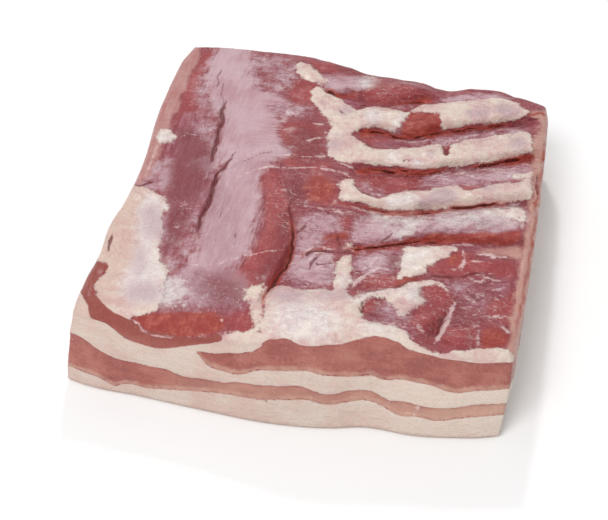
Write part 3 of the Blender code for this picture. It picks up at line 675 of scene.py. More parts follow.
# The marks are read on a level plane, where the photograph's sight lines meet it.
T = Tissue
FLANK_MARKS: tuple[Patch | Streak, ...] = (
    Patch(T.FILM, (-101, 142, -76, 142, -78, 128, -70, 118, -72, 110, -64, 106, -68, 98, -60, 93, -50, 92,
        -44, 88, -38, 80, -47, 78, -51, 72, -44, 66, -43, 58, -42, 48, -37, 40, -30, 33, -34, 27, -42, 17,
        -41, 8, -41, -2, -38, -12, -34, -24, -34, -38, -33, -52, -33, -64, -37, -76, -46, -84, -52, -88,
        -62, -86, -64, -78, -62, -62, -64, -48, -65, -30, -66, -10, -66, 4, -66, 14, -71, 12, -75, 20,
        -76, 34, -77.5, 48, -80, 64, -84, 72, -92, 80, -98, 92, -101, 108, -102, 122), 0.6),
    Patch(T.HAZE, (-106, 126, -80, 122, -79, 66, -77, 40, -77, 26, -84, 30, -90, 40, -95, 52, -100, 70,
        -104, 90), 0.5),
    Patch(T.HAZE, (-106, 12, -97, 12, -93, -8, -90, -22, -98, -27, -112, -20, -114, -4), 0.7),
    Patch(T.HAZE, (-84, 20, -72, 14, -68, 2, -76, 2, -86, 8), 0.5),
    Patch(T.HAZE, (-74, -40, -66, -34, -60, -58, -52, -76, -38, -80, -30, -92, -34, -108, -58, -114,
        -74, -110, -76, -92, -72, -74, -78, -58), 0.3),
    Patch(T.HAZE, (-80, 133, -50, 131, -44, 122, -44, 104, -50, 94, -72, 98), 0.5),
    Patch(T.HAZE, (-56, 84, -40, 83, -26, 84, -27, 74, -44, 70, -56, 72), 0.7),
    Patch(T.HAZE, (-46, 42, -34, 41, -27, 36, -34, 31, -46, 34), 0.7),
    Patch(T.DUSK, (-68, -3, -55, -10, -43, -30, -39, -57, -39, -74, -47, -80, -55, -75, -62, -57,
        -65, -35), 0.7),
    Patch(T.DUSK, (-62, -84, -54, -79, -44, -78, -33, -81, -26, -87, -24, -97, -30, -104, -44, -107,
        -54, -104, -60, -95), 0.6),
    Patch(T.DARK, (-55, -83, -45, -81, -34, -83, -27, -89, -25, -98, -31, -104, -44, -105, -51, -97), 0.3),
    Patch(T.BRIGHT, (-39, 60, -30, 67, -19, 67, -10, 55, -8, 40, -15, 31, -25, 30, -34, 39), 0.9),
    Patch(T.BLUSH, (-132, 144, -116, 139, -111, 126, -112, 104, -110, 80, -110, 52, -109, 40, -108, 22,
        -107, 6, -108, -12, -114, -18, -132, -18), 0.8),
    Patch(T.PURPLE, (-103, 62, -92, 60, -82, 44, -78, 24, -70, 8, -68, -16, -67, -40, -72, -52, -76, -72,
        -80, -78, -84, -66, -86, -50, -90, -34, -92, -22, -94, -4, -99, 10, -106, 20, -107, 50), 0.6),
    Patch(T.PURPLE, (-62, -54, -56, -56, -50, -70, -52, -76, -58, -70), 0.6),
    Patch(T.PURPLE, (-60, -86, -40, -84, -28, -92, -20, -104, -30, -114, -50, -108, -66, -98), 0.5),
    Patch(T.DARK, (-105, 44, -94, 46, -82, 34, -76, 18, -72, 4, -74, -20, -78, -26, -90, -26, -95, -10,
        -97, 6, -98, 24), 0.5),
    Patch(T.DARK, (-88, -31, -76, -30, -72, -44, -76, -66, -80, -74, -84, -60, -85, -48), 0.7),
    Patch(T.DARK, (-34, 58, -22, 65, -11, 60, -6, 41, -10, 25, -23, 25, -32, 39), 0.3),
    Patch(T.DARK, (-20, -20, -13, -34, -11, -52, -14, -78, -18, -92, -24, -90, -23, -66, -20, -46,
        -22, -32), 0.4),
    Patch(T.DARK, (-22, 6, -12, 4, -11, -10, -20, -14), 0.4),
    Patch(T.BRIGHT, (-38, 12, -30, 11, -26, 0, -22, -10, -18, -20, -13, -32, -10, -42, -9, -58, -12, -78,
        -14, -90, -20, -94, -34, -92, -42, -88, -36, -78, -30, -66, -29, -50, -29, -35, -32, -20,
        -36, -4), 0.6),
    Patch(T.BRIGHT, (-112, 127, -104, 132, -102, 118, -104, 104, -99, 78, -97, 66, -88, 54, -90, 40, -108, 42,
        -108, 56, -109, 76, -110, 96), 0.8),
    Patch(T.BRIGHT, (-34, -106, -24, -103, -18, -112, -14, -121, -19, -127, -30, -127), 0.5),
    Patch(T.BRIGHT, (-44, 109, -30, 112, -24, 100, -25, 86, -36, 83, -44, 90), 0.7),
    Patch(T.BRIGHT, (-42, 62, -24, 66, -12, 64, -9, 52, -8, 40, -10, 32, -26, 30, -32, 38, -40, 48,
        -44, 56), 0.7),
    Patch(T.BRIGHT, (-34, 29, -16, 31, -4, 27, 2, 20, -10, 20, -30, 19), 0.8),
    Patch(T.BRIGHT, (-44, 14, -34, 15, -28, 8, -30, -2, -38, -6, -42, 2), 0.6),
    Patch(T.RAW, (-12, 17, -2, 15, 4, 6, 6, -2, 4, -9, -2, -11, -10, -8, -13, 2), 0.3),
    Patch(T.RAW, (-83, -125, -72, -121, -60, -117, -48, -114, -39, -114, -32, -116, -31, -122, -34, -127,
        -41, -132, -60, -136, -71, -134, -78, -129), 0.8),
    Patch(T.CUT, (-134, -84, -107, -88, -106, -92, -109, -97, -109, -107, -105, -114, -97, -122, -87, -125.5,
        -78, -129.5, -70, -136, -60, -137, -41, -133, -33, -127, -30, -134, -38, -142, -44, -146, -44, -170,
        -88, -170, -90, -140, -99, -133.5, -106, -125, -113, -115, -118, -108, -134, -104)),
    Patch(T.FAT, (-134, -16, -110, -17, -103, -20, -94, -23, -88, -31, -90, -42, -86, -52, -84, -68, -79, -80,
        -74, -84, -72, -92, -70, -102, -68, -112, -70, -120, -82, -127, -90, -128, -98, -122, -106, -113,
        -109, -104, -107, -95, -106, -88, -124, -84, -136, -84), 0.9),
    Patch(T.FAT, (-140, -100, -118, -106, -112, -114, -105, -124, -98, -132, -86, -140, -86, -170,
        -140, -170)),
    Patch(T.FAT, (-46, -140, -36, -136, -30, -128, -12, -124, -4, -126, -4, -170, -50, -170)),
    Patch(T.WHITE, (-104, -22, -95, -25, -89, -32, -91, -44, -87, -54, -85, -68, -80, -80, -75, -86,
        -73, -100, -70, -112, -78, -116, -90, -112, -96, -104, -93, -90, -95, -72, -101, -54,
        -105, -38), 0.6),
    Patch(T.LILAC, (-102, -36, -92, -34, -86, -49, -84, -63, -93, -62, -100, -49), 0.28),
    Patch(T.LILAC, (-91, -102, -83, -96, -73, -102, -71, -111, -80, -116, -90, -112), 0.28),
    Patch(T.LILAC, (-96, -73, -93, -69, -87, -81, -87, -93, -92, -88), 0.28),
    Patch(T.WHITE, (-76, -90, -64, -93, -58, -100, -60, -110, -66, -114, -76, -110), 0.5),
    Patch(T.FAT, (-112, 41, -105, 39, -102, 32, -105, 26, -112, 26, -115, 34)),
    Patch(T.WHITE, (-111, 40, -106, 38, -103, 31, -106, 26, -112, 27, -114, 34)),
    Patch(T.FAT, (-27, -92, -20, -85, -16, -90, -16, -100, -12, -112, -11, -124, -15, -124, -19, -110,
        -25, -100), 0.5),
    Patch(T.FAT, (-33, -128, -22, -126, -12, -121, -10, -128, -14, -134, -26, -138, -33, -134), 0.4),
    Patch(T.MOTTLE, (-78, 134, -48, 134, -42, 122, -40, 98, -52, 90, -72, 96, -82, 116), 0.7),
    Patch(T.MOTTLE, (-56, 84, -32, 86, -26, 78, -30, 72, -44, 68, -56, 72), 0.7),
    Patch(T.MOTTLE, (-46, 42, -30, 42, -22, 36, -30, 27, -46, 32), 0.7),
    Patch(T.MOTTLE, (-78, -78, -56, -82, -34, -88, -24, -98, -30, -112, -60, -116, -80, -106), 0.7),
    Patch(T.MOTTLE, (-34, 20, -10, 20, -8, 0, -10, -24, -10, -50, -20, -44, -30, -14), 0.7),
    Patch(T.MOTTLE, (-92, -26, -70, -27, -70, -38, -88, -40), 0.7),
    Patch(T.MOTTLE, (-104, 44, -80, 42, -80, 34, -104, 34), 0.7),
    Streak(T.SINEW, (-56, 1, -48, 11, -40, 16, -30, 17.5, -10, 22), 0.9),
    Streak(T.SINEW, (-62, -79, -50, -76, -40, -70, -30, -62, -14, -55), 0.8),
    Streak(T.SINEW, (-80, -29, -70, -28), 1.0),
    Streak(T.SINEW, (-82, -49, -77, -49), 0.8),
    Streak(T.SINEW, (-96, 39, -86, 39), 0.8),
    Streak(T.SINEW, (-38, 29, -26, 32, -8, 31), 1.0),
    Streak(T.SINEW, (-83, -126, -77, -129, -73, -134, -68, -138), 1.3),
    Streak(T.SINEW, (-72, -137, -60, -137, -48, -134, -36, -130), 0.9),
    Streak(T.SINEW, (-35, -117, -33, -119), 1.6),
    Streak(T.SEAM_AND_CREASE_SHADE, (-61, 36, -64, 20, -66, 8, -68, -2, -67, -14, -66, -28, -66, -42, -65, -58), 2.2),
    Streak(T.SEAM_AND_CREASE_SHADE, (-82, 84, -81, 74, -79, 62, -77.5, 48, -76, 34, -75, 20, -75, 8), 2.4),
    Streak(T.SEAM_AND_CREASE_SHADE, (-95, 116, -92, 102, -90, 88), 0.9),
    Streak(T.SEAM_AND_CREASE_SHADE, (-88, 98, -85, 84, -82, 72), 0.6),
    Streak(T.SEAM_AND_CREASE_SHADE, (-100, 70, -94, 54, -90, 42), 0.9),
    Streak(T.SEAM_AND_CREASE_SHADE, (-64, 7, -58, 15, -50, 25, -43, 32, -36, 35), 0.8),
    Streak(T.SEAM_AND_CREASE_SHADE, (-58, -16, -57, -36), 0.8),
    Streak(T.SEAM_AND_CREASE_SHADE, (-45, -42, -41, -60), 0.8),
    Streak(T.SEAM_AND_CREASE_SHADE, (-113, -62, -112, -70, -110, -80), 1.8),
    Streak(T.SEAM_AND_CREASE_SHADE, (-113, -19, -107, -14, -102, -11), 2.0),
    Streak(T.SLIT_SHADE, (-16, -30, -11, -38, -9, -50, -9, -62, -11, -75, -13, -88, -16.5, -102), 1.7),
)
FINGER_MARKS: tuple[Patch | Streak, ...] = (
    Patch(T.FAT, (-29.5, 100.5, -26.5, 106, -20.5, 100.5, -13, 96.5, -4.5, 90, 2, 85, 4.5, 87.5, 16.5, 91.5,
        29.5, 90.5, 35.5, 87.5, 41.5, 98.5, 51, 102, 63, 105.5, 78, 113, 90.5, 117, 100.5, 114.5, 106.5, 109,
        112, 105, 107.5, 98.5, 100.5, 93.5, 93, 91, 81, 86.5, 69, 81.5, 57.5, 74, 57.5, 78, 56.5, 86.5,
        55, 91.5, 53.5, 93, 51, 92.5, 45.5, 91, 39, 89, 36.5, 88, 34.5, 80, 33, 70, 30, 65, 24.5, 68, 19, 70,
        12, 67.5, 7.5, 63.5, 4, 61.5, 6, 57.5, 12, 52.5, 18, 47.5, 21.5, 46.5, 29, 49, 36, 51.5, 45, 53.5,
        53.5, 57.5, 57.5, 60, 59.5, 58.5, 62.5, 53, 64.5, 48.5, 65.5, 55.5, 65, 62, 72.5, 65.5, 83, 71,
        94.5, 76.5, 103.5, 81.5, 112.5, 84.5, 115, 76.5, 116.5, 66.5, 115.5, 63.5, 106.5, 58, 97.5, 52.5,
        86, 46, 78, 42, 68.5, 40, 62.5, 37, 56, 33.5, 47.5, 31.5, 39, 32, 30, 31, 20.5, 31, 13.5, 30.5,
        5.5, 31, -1, 31.5, -7, 33.5, -7.5, 42.5, -9.5, 52.5, -8.5, 61, -12.5, 68.5, -18.5, 78.5, -25, 86,
        -28.5, 92)),
    Patch(T.FAT, (4.5, 7, 6.5, 14, 11, 16, 15, 11, 19, 5.5, 26, 1, 31, 0, 36, 5, 42.5, 9, 54, 13.5, 65, 18,
        72, 21, 76.5, 24, 78.5, 18.5, 83, 18, 88.5, 23, 95, 27, 103, 30, 110, 31, 116, 44.5, 118.5, 37,
        119, 25.5, 118.5, 17, 110, 14, 100.5, 11, 90.5, 7, 79, 3, 68, -1.5, 56.5, -5, 45.5, -8, 36, -9,
        30, -8.5, 22.5, -6.5, 15.5, -6, 9, -5.5, 7, 0.5), 0.9),
    Patch(T.FILM, (54.5, -14.5, 63, -9, 80, -3.5, 103, -1.5, 114.5, -2.5, 114, -10, 104.5, -14.5, 82, -20.5,
        65, -24, 57.5, -28, 53.5, -23.5), 0.6),
    Patch(T.FILM, (-25.5, 113, -18.5, 119, -8, 119, -1.5, 120.5, 2, 107.5, -3.5, 103, -13, 103,
        -20, 105), 0.5),
    Streak(T.DARK, (59.5, -25, 67.5, -15.5, 72.5, -9.5), 1.4),
    Streak(T.DARK, (68.5, -23, 79, -14, 86, -7), 1.4),
    Streak(T.DARK, (80, -21, 90, -12.5, 97.5, -6), 1.4),
    Streak(T.DARK, (91, -17.5, 100.5, -11, 107, -6), 1.4),
    Patch(T.FAT, (-46, 130, -41.5, 131, -36, 127.5, -31, 121.5, -26, 116.5, -22, 111.5, -23, 106.5, -30, 110,
        -38, 111.5, -42.5, 116.5, -45.5, 124.5), 0.7),
    Patch(T.FILM, (68, -4, 79.5, 0, 90.5, 4.5, 102, 7.5, 113.5, 10, 117.5, 4.5, 114.5, -1.5, 103, -1.5,
        91.5, -2, 80, -4.5, 71.5, -6), 0.6),
    Patch(T.FILM, (53, 21, 63.5, 29, 81, 37, 92.5, 39.5, 98, 43.5, 110, 48, 117, 49.5, 117.5, 43.5, 108, 36.5,
        99.5, 31, 82, 27, 65, 19.5), 0.5),
    Patch(T.WHITE, (8, 84, 17, 88, 20.5, 82.5, 18.5, 73, 11, 71.5), 0.5),
    Patch(T.WHITE, (26.5, 79, 31.5, 86.5, 34.5, 85, 32.5, 74, 31, 65, 28, 66.5), 0.8),
    Patch(T.WHITE, (27.5, 45.5, 36.5, 47.5, 39.5, 36, 31, 36), 0.4),
    Patch(T.WHITE, (34.5, 0, 41, 5, 49.5, 10, 55, 7, 52.5, -1, 44, -6.5, 37, -7), 0.8),
    Patch(T.WHITE, (44.5, 44, 49.5, 42, 53, 37, 47, 33.5), 0.8),
    Patch(T.FAT, (92, 2, 102, 6, 113.5, 9, 118, 4.5, 114.5, -2.5, 105.5, -2, 98.5, -1.5), 0.6),
    Patch(T.FAT, (103.5, 37.5, 110.5, 43, 117.5, 45.5, 118.5, 41, 111, 36.5), 0.6),
    Patch(T.LILAC, (-12, 84, -5, 88, 1.5, 85, -0.5, 78, -6.5, 76.5), 0.6),
    Patch(T.LILAC, (68.5, 96.5, 78, 103, 87, 102, 85.5, 92.5, 74.5, 90.5), 0.7),
    Patch(T.LILAC, (85.5, 104.5, 91, 112.5, 99, 111, 105.5, 105.5, 102.5, 98.5, 92.5, 97.5), 0.9),
    Patch(T.LILAC, (53.5, -1.5, 56, 7.5, 62, 14.5, 68.5, 18.5, 75, 16, 77.5, 9, 72, 4, 65, 2.5,
        59.5, -2), 0.9),
    Patch(T.LILAC, (52, 51, 56.5, 54, 59, 46, 55.5, 43.5), 0.5),
    Patch(T.LILAC, (101, 73.5, 109.5, 79.5, 113.5, 72, 108.5, 65, 102, 65.5), 0.5),
    Patch(T.LILAC, (-8.5, 50.5, -4, 55.5, 0, 48, -1.5, 37.5, -5.5, 38.5), 0.3),
    Patch(T.LILAC, (88.5, 24.5, 100, 27, 98, 21, 90, 19.5), 0.3),
    Patch(T.HAZE, (-27, 115, -19, 120.5, -10.5, 118.5, -3, 121.5, 2, 121.5, 6, 115, 2.5, 105, -3.5, 103,
        -13, 104, -21, 105), 0.8),
    Patch(T.FILM, (52, 104.5, 62, 112, 77.5, 118.5, 90, 120.5, 99.5, 116.5, 90.5, 116, 78, 113,
        63, 105.5), 0.8),
    Patch(T.HAZE, (15, 92, 25.5, 95.5, 36.5, 97.5, 41, 100, 39.5, 93, 29.5, 90.5, 20, 91), 0.8),
    Patch(T.HAZE, (41, 58, 52.5, 63.5, 64.5, 68, 76.5, 72.5, 88.5, 78.5, 101.5, 84, 108.5, 88, 111.5, 83,
        98, 77, 83, 70, 68.5, 62.5, 54, 56.5), 0.6),
    Patch(T.HAZE, (20, 14, 25, 13, 30.5, 8.5, 33, 2.5, 29.5, 1, 24, 6), 0.8),
    Patch(T.HAZE, (57.5, 30, 69, 34.5, 85, 33.5, 102, 35.5, 110.5, 43, 102.5, 31.5, 88.5, 24.5, 73.5, 23.5,
        64.5, 21.5), 0.6),
    Patch(T.HAZE, (-9, -42, -10.5, -30, -6.5, -22, 8, -18.5, 12.5, -29, 15.5, -35.5, 7.5, -39.5, 2.5, -46,
        -2, -53, -5, -56.5, -8, -54.5), 0.6),
    Patch(T.HAZE, (22, -35.5, 23.5, -24.5, 27, -18.5, 41.5, -14.5, 48.5, -21, 51, -29.5, 45, -36, 34.5, -40,
        27.5, -41.5), 0.5),
    Patch(T.PURPLE, (-10, 93.5, -2.5, 96, 4.5, 94.5, 12.5, 91.5, 4.5, 87.5, 0.5, 87), 1.0),
    Patch(T.BLUSH, (20, 80, 23, 85, 26.5, 85.5, 27.5, 79.5, 26.5, 74, 25.5, 69, 22, 70.5), 1.0),
    Patch(T.PURPLE, (18, 54, 29, 56.5, 41, 60, 52.5, 64.5, 64.5, 70, 82, 78, 101, 87.5, 110, 87, 100.5, 80,
        83, 72, 65.5, 63, 53.5, 57.5, 39, 52, 26.5, 48.5, 20, 49), 0.9),
    Patch(T.PURPLE, (52, 26.5, 63.5, 30, 81.5, 32, 99, 34.5, 82, 26.5, 65, 19, 56.5, 16), 0.7),
    Patch(T.PURPLE, (50.5, 106.5, 58.5, 112.5, 71, 117.5, 80.5, 121, 91.5, 120.5, 90.5, 117, 84, 117,
        71.5, 113, 60.5, 107.5, 53.5, 102.5), 1.0),
    Patch(T.PURPLE, (28.5, -32.5, 30.5, -26, 36.5, -26.5, 40, -32, 37, -37, 31.5, -37), 0.8),
    Patch(T.PURPLE, (-3.5, -30.5, -1.5, -24.5, 3, -29, 1, -36.5), 0.6),
    Patch(T.PURPLE, (104.5, 9, 110.5, 11.5, 116, 6, 114.5, 0, 107, 2), 0.5),
    Patch(T.BRIGHT, (-40, 131.5, -29.5, 132.5, -13.5, 131, 3, 125, -7, 121.5, -15.5, 117.5, -21.5, 121,
        -28.5, 122, -34.5, 125.5), 0.8),
    Patch(T.BRIGHT, (6.5, 120, 15.5, 122, 25, 119, 37.5, 115, 46.5, 109, 48, 104.5, 38, 100, 28.5, 97,
        19.5, 94, 11, 94.5, 3.5, 99.5, 1.5, 107.5, 4.5, 115), 0.8),
    Patch(T.BRIGHT, (11, 57.5, 18.5, 59.5, 28.5, 58.5, 38, 58, 38, 53, 29, 49, 21.5, 48.5, 15.5, 52.5), 0.8),
    Patch(T.BRIGHT, (16, 17, 20, 21, 31.5, 22.5, 46, 24.5, 55, 26.5, 53, 19, 48, 12.5, 41, 10, 34.5, 7.5,
        29.5, 8.5, 22.5, 12.5), 0.7),
    Patch(T.BRIGHT, (76, 22, 80, 26, 86.5, 26, 88.5, 23, 85.5, 18.5, 80.5, 18), 1.2),
    Patch(T.BRIGHT, (103.5, 32.5, 106.5, 34.5, 110, 31, 110, 29, 105, 29), 1.2),
    Patch(T.BRIGHT, (60, 58.5, 64.5, 60.5, 65.5, 55.5, 65.5, 48.5, 63, 53), 1.2),
    Patch(T.BRIGHT, (10, -21, 17, -18.5, 20, -29, 20.5, -36, 16.5, -34, 13, -32), 0.9),
    Patch(T.RAW, (34.5, 78.5, 36, 86, 37, 87.5, 39, 88.5, 45.5, 90.5, 51, 92, 53.5, 92.5, 55.5, 89.5,
        57, 83.5, 57, 77, 56.5, 73, 51.5, 70.5, 43, 66.5, 35.5, 63, 34.5, 72), 1.0),
    Patch(T.RAW, (28, 88, 33.5, 90.5, 34.5, 85, 30, 83), 0.9),
    Patch(T.RAW, (-19.5, 105, -15.5, 102.5, -8.5, 103, 0, 104.5, 3.5, 101, -2.5, 97.5, -10.5, 97,
        -16.5, 99), 1.0),
    Patch(T.RAW, (8.5, 60.5, 10.5, 66, 16, 66, 20, 65, 19.5, 60.5, 13.5, 58, 10, 57.5), 1.0),
    Patch(T.RAW, (14, 22.5, 16.5, 28, 22.5, 28.5, 30, 28, 28, 23.5, 20, 21, 16, 20), 1.0),
    Patch(T.RAW, (50.5, 35.5, 54, 42, 59.5, 42, 60.5, 37.5, 57, 33, 52.5, 32), 0.7),
    Patch(T.RAW, (97.5, 50.5, 104, 55.5, 114.5, 62, 117.5, 61.5, 117.5, 55.5, 109.5, 51, 101, 48), 0.9),
    Patch(T.RAW, (59.5, -31.5, 65.5, -25, 82, -21, 99, -17, 107, -13.5, 116, -8.5, 117, -17.5, 111, -25,
        100, -26.5, 83, -30, 66.5, -32.5), 0.9),
    Patch(T.RAW, (24, -47.5, 25.5, -43.5, 29, -43, 30, -46.5, 27.5, -49.5), 1.0),
    Patch(T.RAW, (5.5, -42, 9.5, -36.5, 14.5, -33.5, 19.5, -34.5, 21.5, -38.5, 17.5, -41, 11.5, -41.5), 0.7),
    Streak(T.RAW, (20, 64, 29, 61.5, 36.5, 62, 49.5, 66, 61, 72.5, 76, 79, 94, 86), 2.6),
    Streak(T.RAW, (30, 27, 39.5, 27, 48, 28, 57.5, 31, 64, 35), 2.6),
    Streak(T.RAW, (80.5, 40.5, 92, 46, 100.5, 51), 2.2),
    Streak(T.RAW, (13, -7.5, 22, -9.5, 30.5, -12, 41, -11.5, 52.5, -8.5, 68, -3.5, 85, 3, 102, 9.5,
        114.5, 13), 2.2),
    Streak(T.RAW, (3, -9.5, 12, -8.5, 21, -10.5), 2.6),
    Streak(T.RAW, (6.5, 96, 16, 94.5, 28.5, 97, 41, 102, 49.5, 105), 1.6),
    Streak(T.RAW, (107, 104, 112.5, 102.5, 117.5, 107, 120.5, 101), 2.6),
    Streak(T.RAW, (121.5, 97, 122.5, 73, 122.5, 42.5, 122.5, 14, 123, -13.5, 123, -37, 122, -64.5,
        121.5, -88.5, 120.5, -109.5), 1.3),
    Streak(T.SINEW, (-23, 48.5, -18.5, 48, -15, 52, -11.5, 52), 1.1),
    Streak(T.SINEW, (-25, 65, -20, 66, -13, 64.5), 1.0),
    Streak(T.SINEW, (-22.5, 31, -15, 32, -7, 33.5), 1.3),
    Streak(T.SINEW, (0, 30.5, 7.5, 28.5, 14, 24.5), 1.6),
    Streak(T.SINEW, (24.5, 58.5, 35, 56.5, 47, 60, 61.5, 66.5), 0.8),
    Streak(T.SINEW, (59, 63.5, 76.5, 71.5, 94.5, 79.5), 0.7),
    Streak(T.SINEW, (22, 10.5, 27, 8, 31, 3), 1.0),
    Streak(T.SINEW, (52.5, 22, 64, 26.5, 76, 28), 0.9),
    Streak(T.SINEW, (69.5, 32.5, 78.5, 35.5, 84, 30.5, 93.5, 29.5), 0.9),
    Streak(T.SINEW, (85.5, 38.5, 98, 43.5, 110, 47), 0.8),
    Streak(T.SINEW, (27.5, 79.5, 26.5, 70.5, 32, 67.5), 0.9),
    Streak(T.SINEW, (15, -10, 23.5, -12, 32, -13.5), 1.0),
    Streak(T.SINEW, (-5.5, 20.5, 4, 20.5, 10.5, 20), 1.2),
    Streak(T.SLIT_SHADE, (-20.5, 104, -15.5, 100, -9.5, 99, -4.5, 100), 4.8),
    Streak(T.SLIT_SHADE, (-7.5, 98.5, 0, 100.5, 4.5, 99), 3.0),
    Streak(T.SLIT_SHADE, (2, 99.5, 9.5, 95.5, 19.5, 94.5, 28.5, 97.5, 38.5, 101.5, 48.5, 103.5), 2.3),
    Streak(T.SLIT_SHADE, (9, 61.5, 12.5, 64.5, 16.5, 65.5, 22.5, 64.5, 29, 62.5, 36.5, 62, 46, 66, 55.5, 71.5,
        63.5, 75), 2.8),
    Streak(T.SLIT_SHADE, (61, 74.5, 75.5, 80.5, 87.5, 85.5, 100, 91.5), 2.5),
    Streak(T.SLIT_SHADE, (14.5, 24, 19, 25.5, 26.5, 27, 35, 27, 45.5, 29.5, 54, 29, 60.5, 33.5, 67, 39), 2.8),
    Streak(T.SLIT_SHADE, (80.5, 41, 88.5, 44.5, 97.5, 50.5, 106.5, 55.5, 115, 60), 2.7),
    Streak(T.SLIT_SHADE, (24, -9, 31.5, -11, 40, -11, 48.5, -9.5, 58, -6.5, 68, -2.5), 2.6),
    Streak(T.SLIT_SHADE, (67, -2.5, 79, 2, 90.5, 6.5, 101.5, 11.5, 114, 14), 2.3),
    Streak(T.SLIT_SHADE, (20.5, -47.5, 28.5, -46, 36.5, -42.5, 44.5, -38.5, 52.5, -34.5, 60.5, -32, 72, -31,
        78.5, -29), 2.3),
    Streak(T.SEAM_AND_CREASE_SHADE, (96.5, -26, 105.5, -25, 111, -25), 2.1),
    Streak(T.SEAM_AND_CREASE_SHADE, (12.5, 50.5, 16, 51, 19.5, 51), 1.4),
    Streak(T.SEAM_AND_CREASE_SHADE, (40.5, 37, 40.5, 40.5, 42.5, 41.5, 44.5, 40, 44.5, 37), 1.3),
    Streak(T.SEAM_AND_CREASE_SHADE, (1.5, 89, 5, 92, 11.5, 91.5), 1.4),
    Streak(T.SEAM_AND_CREASE_SHADE, (-9, 83.5, -6, 80, -2.5, 78.5), 1.3),
    Streak(T.SEAM_AND_CREASE_SHADE, (61.5, 59, 63.5, 54, 65.5, 48.5), 1.9),
    Streak(T.SEAM_AND_CREASE_SHADE, (106.5, 96.5, 111.5, 96, 117.5, 99.5), 1.6),
    Streak(T.SEAM_AND_CREASE_SHADE, (119.5, 47, 121.5, 31.5, 122, 18.5), 1.5),
    Streak(T.SEAM_AND_CREASE_SHADE, (-11.5, 103.5, -5, 102.5, 0, 104.5), 1.5),
    Streak(T.SEAM_AND_CREASE_SHADE, (11.5, 14.5, 17.5, 7, 26, 2), 1.6),
    Streak(T.SEAM_AND_CREASE_SHADE, (64, 25.5, 71.5, 23, 76.5, 22), 1.4),
    Patch(T.WHITE, (42, -14, 50, -14, 60, -9, 61, -14, 56, -20, 52, -28, 48, -32, 45, -26, 47, -20), 0.6),
    Patch(T.WHITE, (66, -7, 85, 0, 111, 9, 113, -3, 92, -9, 70, -16), 0.25),
    Patch(T.WHITE, (30, -14, 43, -10, 57, -10, 57, -17, 43, -21, 33, -21), 0.3),
    # This white patch is a painted highlight on the back flap.
    Patch(T.WHITE, (0, 122, 6, 122, 10, 114, 5, 108, 0, 112), 0.5),
    Patch(T.DARK, (-22, 136, -6, 132, 4, 128, 14, 123, 2, 122, -18, 121), 0.7),
    Patch(T.RAW, (34, 103, 40, 107, 49, 109, 49, 105, 42, 102), 0.8),
    Patch(T.BLUSH, (108, 104, 114, 108, 121, 108, 134, 104, 134, -134, 122, -130, 118, -112, 118, -80,
        118, -40, 119, 0, 118, 40, 115, 66, 116, 80, 120, 96), 0.6),
    Patch(T.MOTTLE, (36, 60, 70, 73, 102, 92, 104, 84, 74, 66, 50, 55, 30, 52), 0.7),
    Patch(T.MOTTLE, (14, 24, 60, 32, 80, 42, 116, 60, 118, 46, 90, 30, 54, 18, 20, 12), 0.7),
    Patch(T.MOTTLE, (-20, 120, 12, 120, 50, 112, 46, 100, 0, 98, -22, 104), 0.7),
    Patch(T.MOTTLE, (-12, -12, 40, -10, 100, 0, 118, -12, 60, -26, 24, -42, 0, -40), 0.7),
    Streak(T.SINEW, (-12, 22, 4, 21, 12, 17), 1.2),
    Streak(T.SINEW, (-12, -15, 8, -16, 22, -16), 1.4),
)
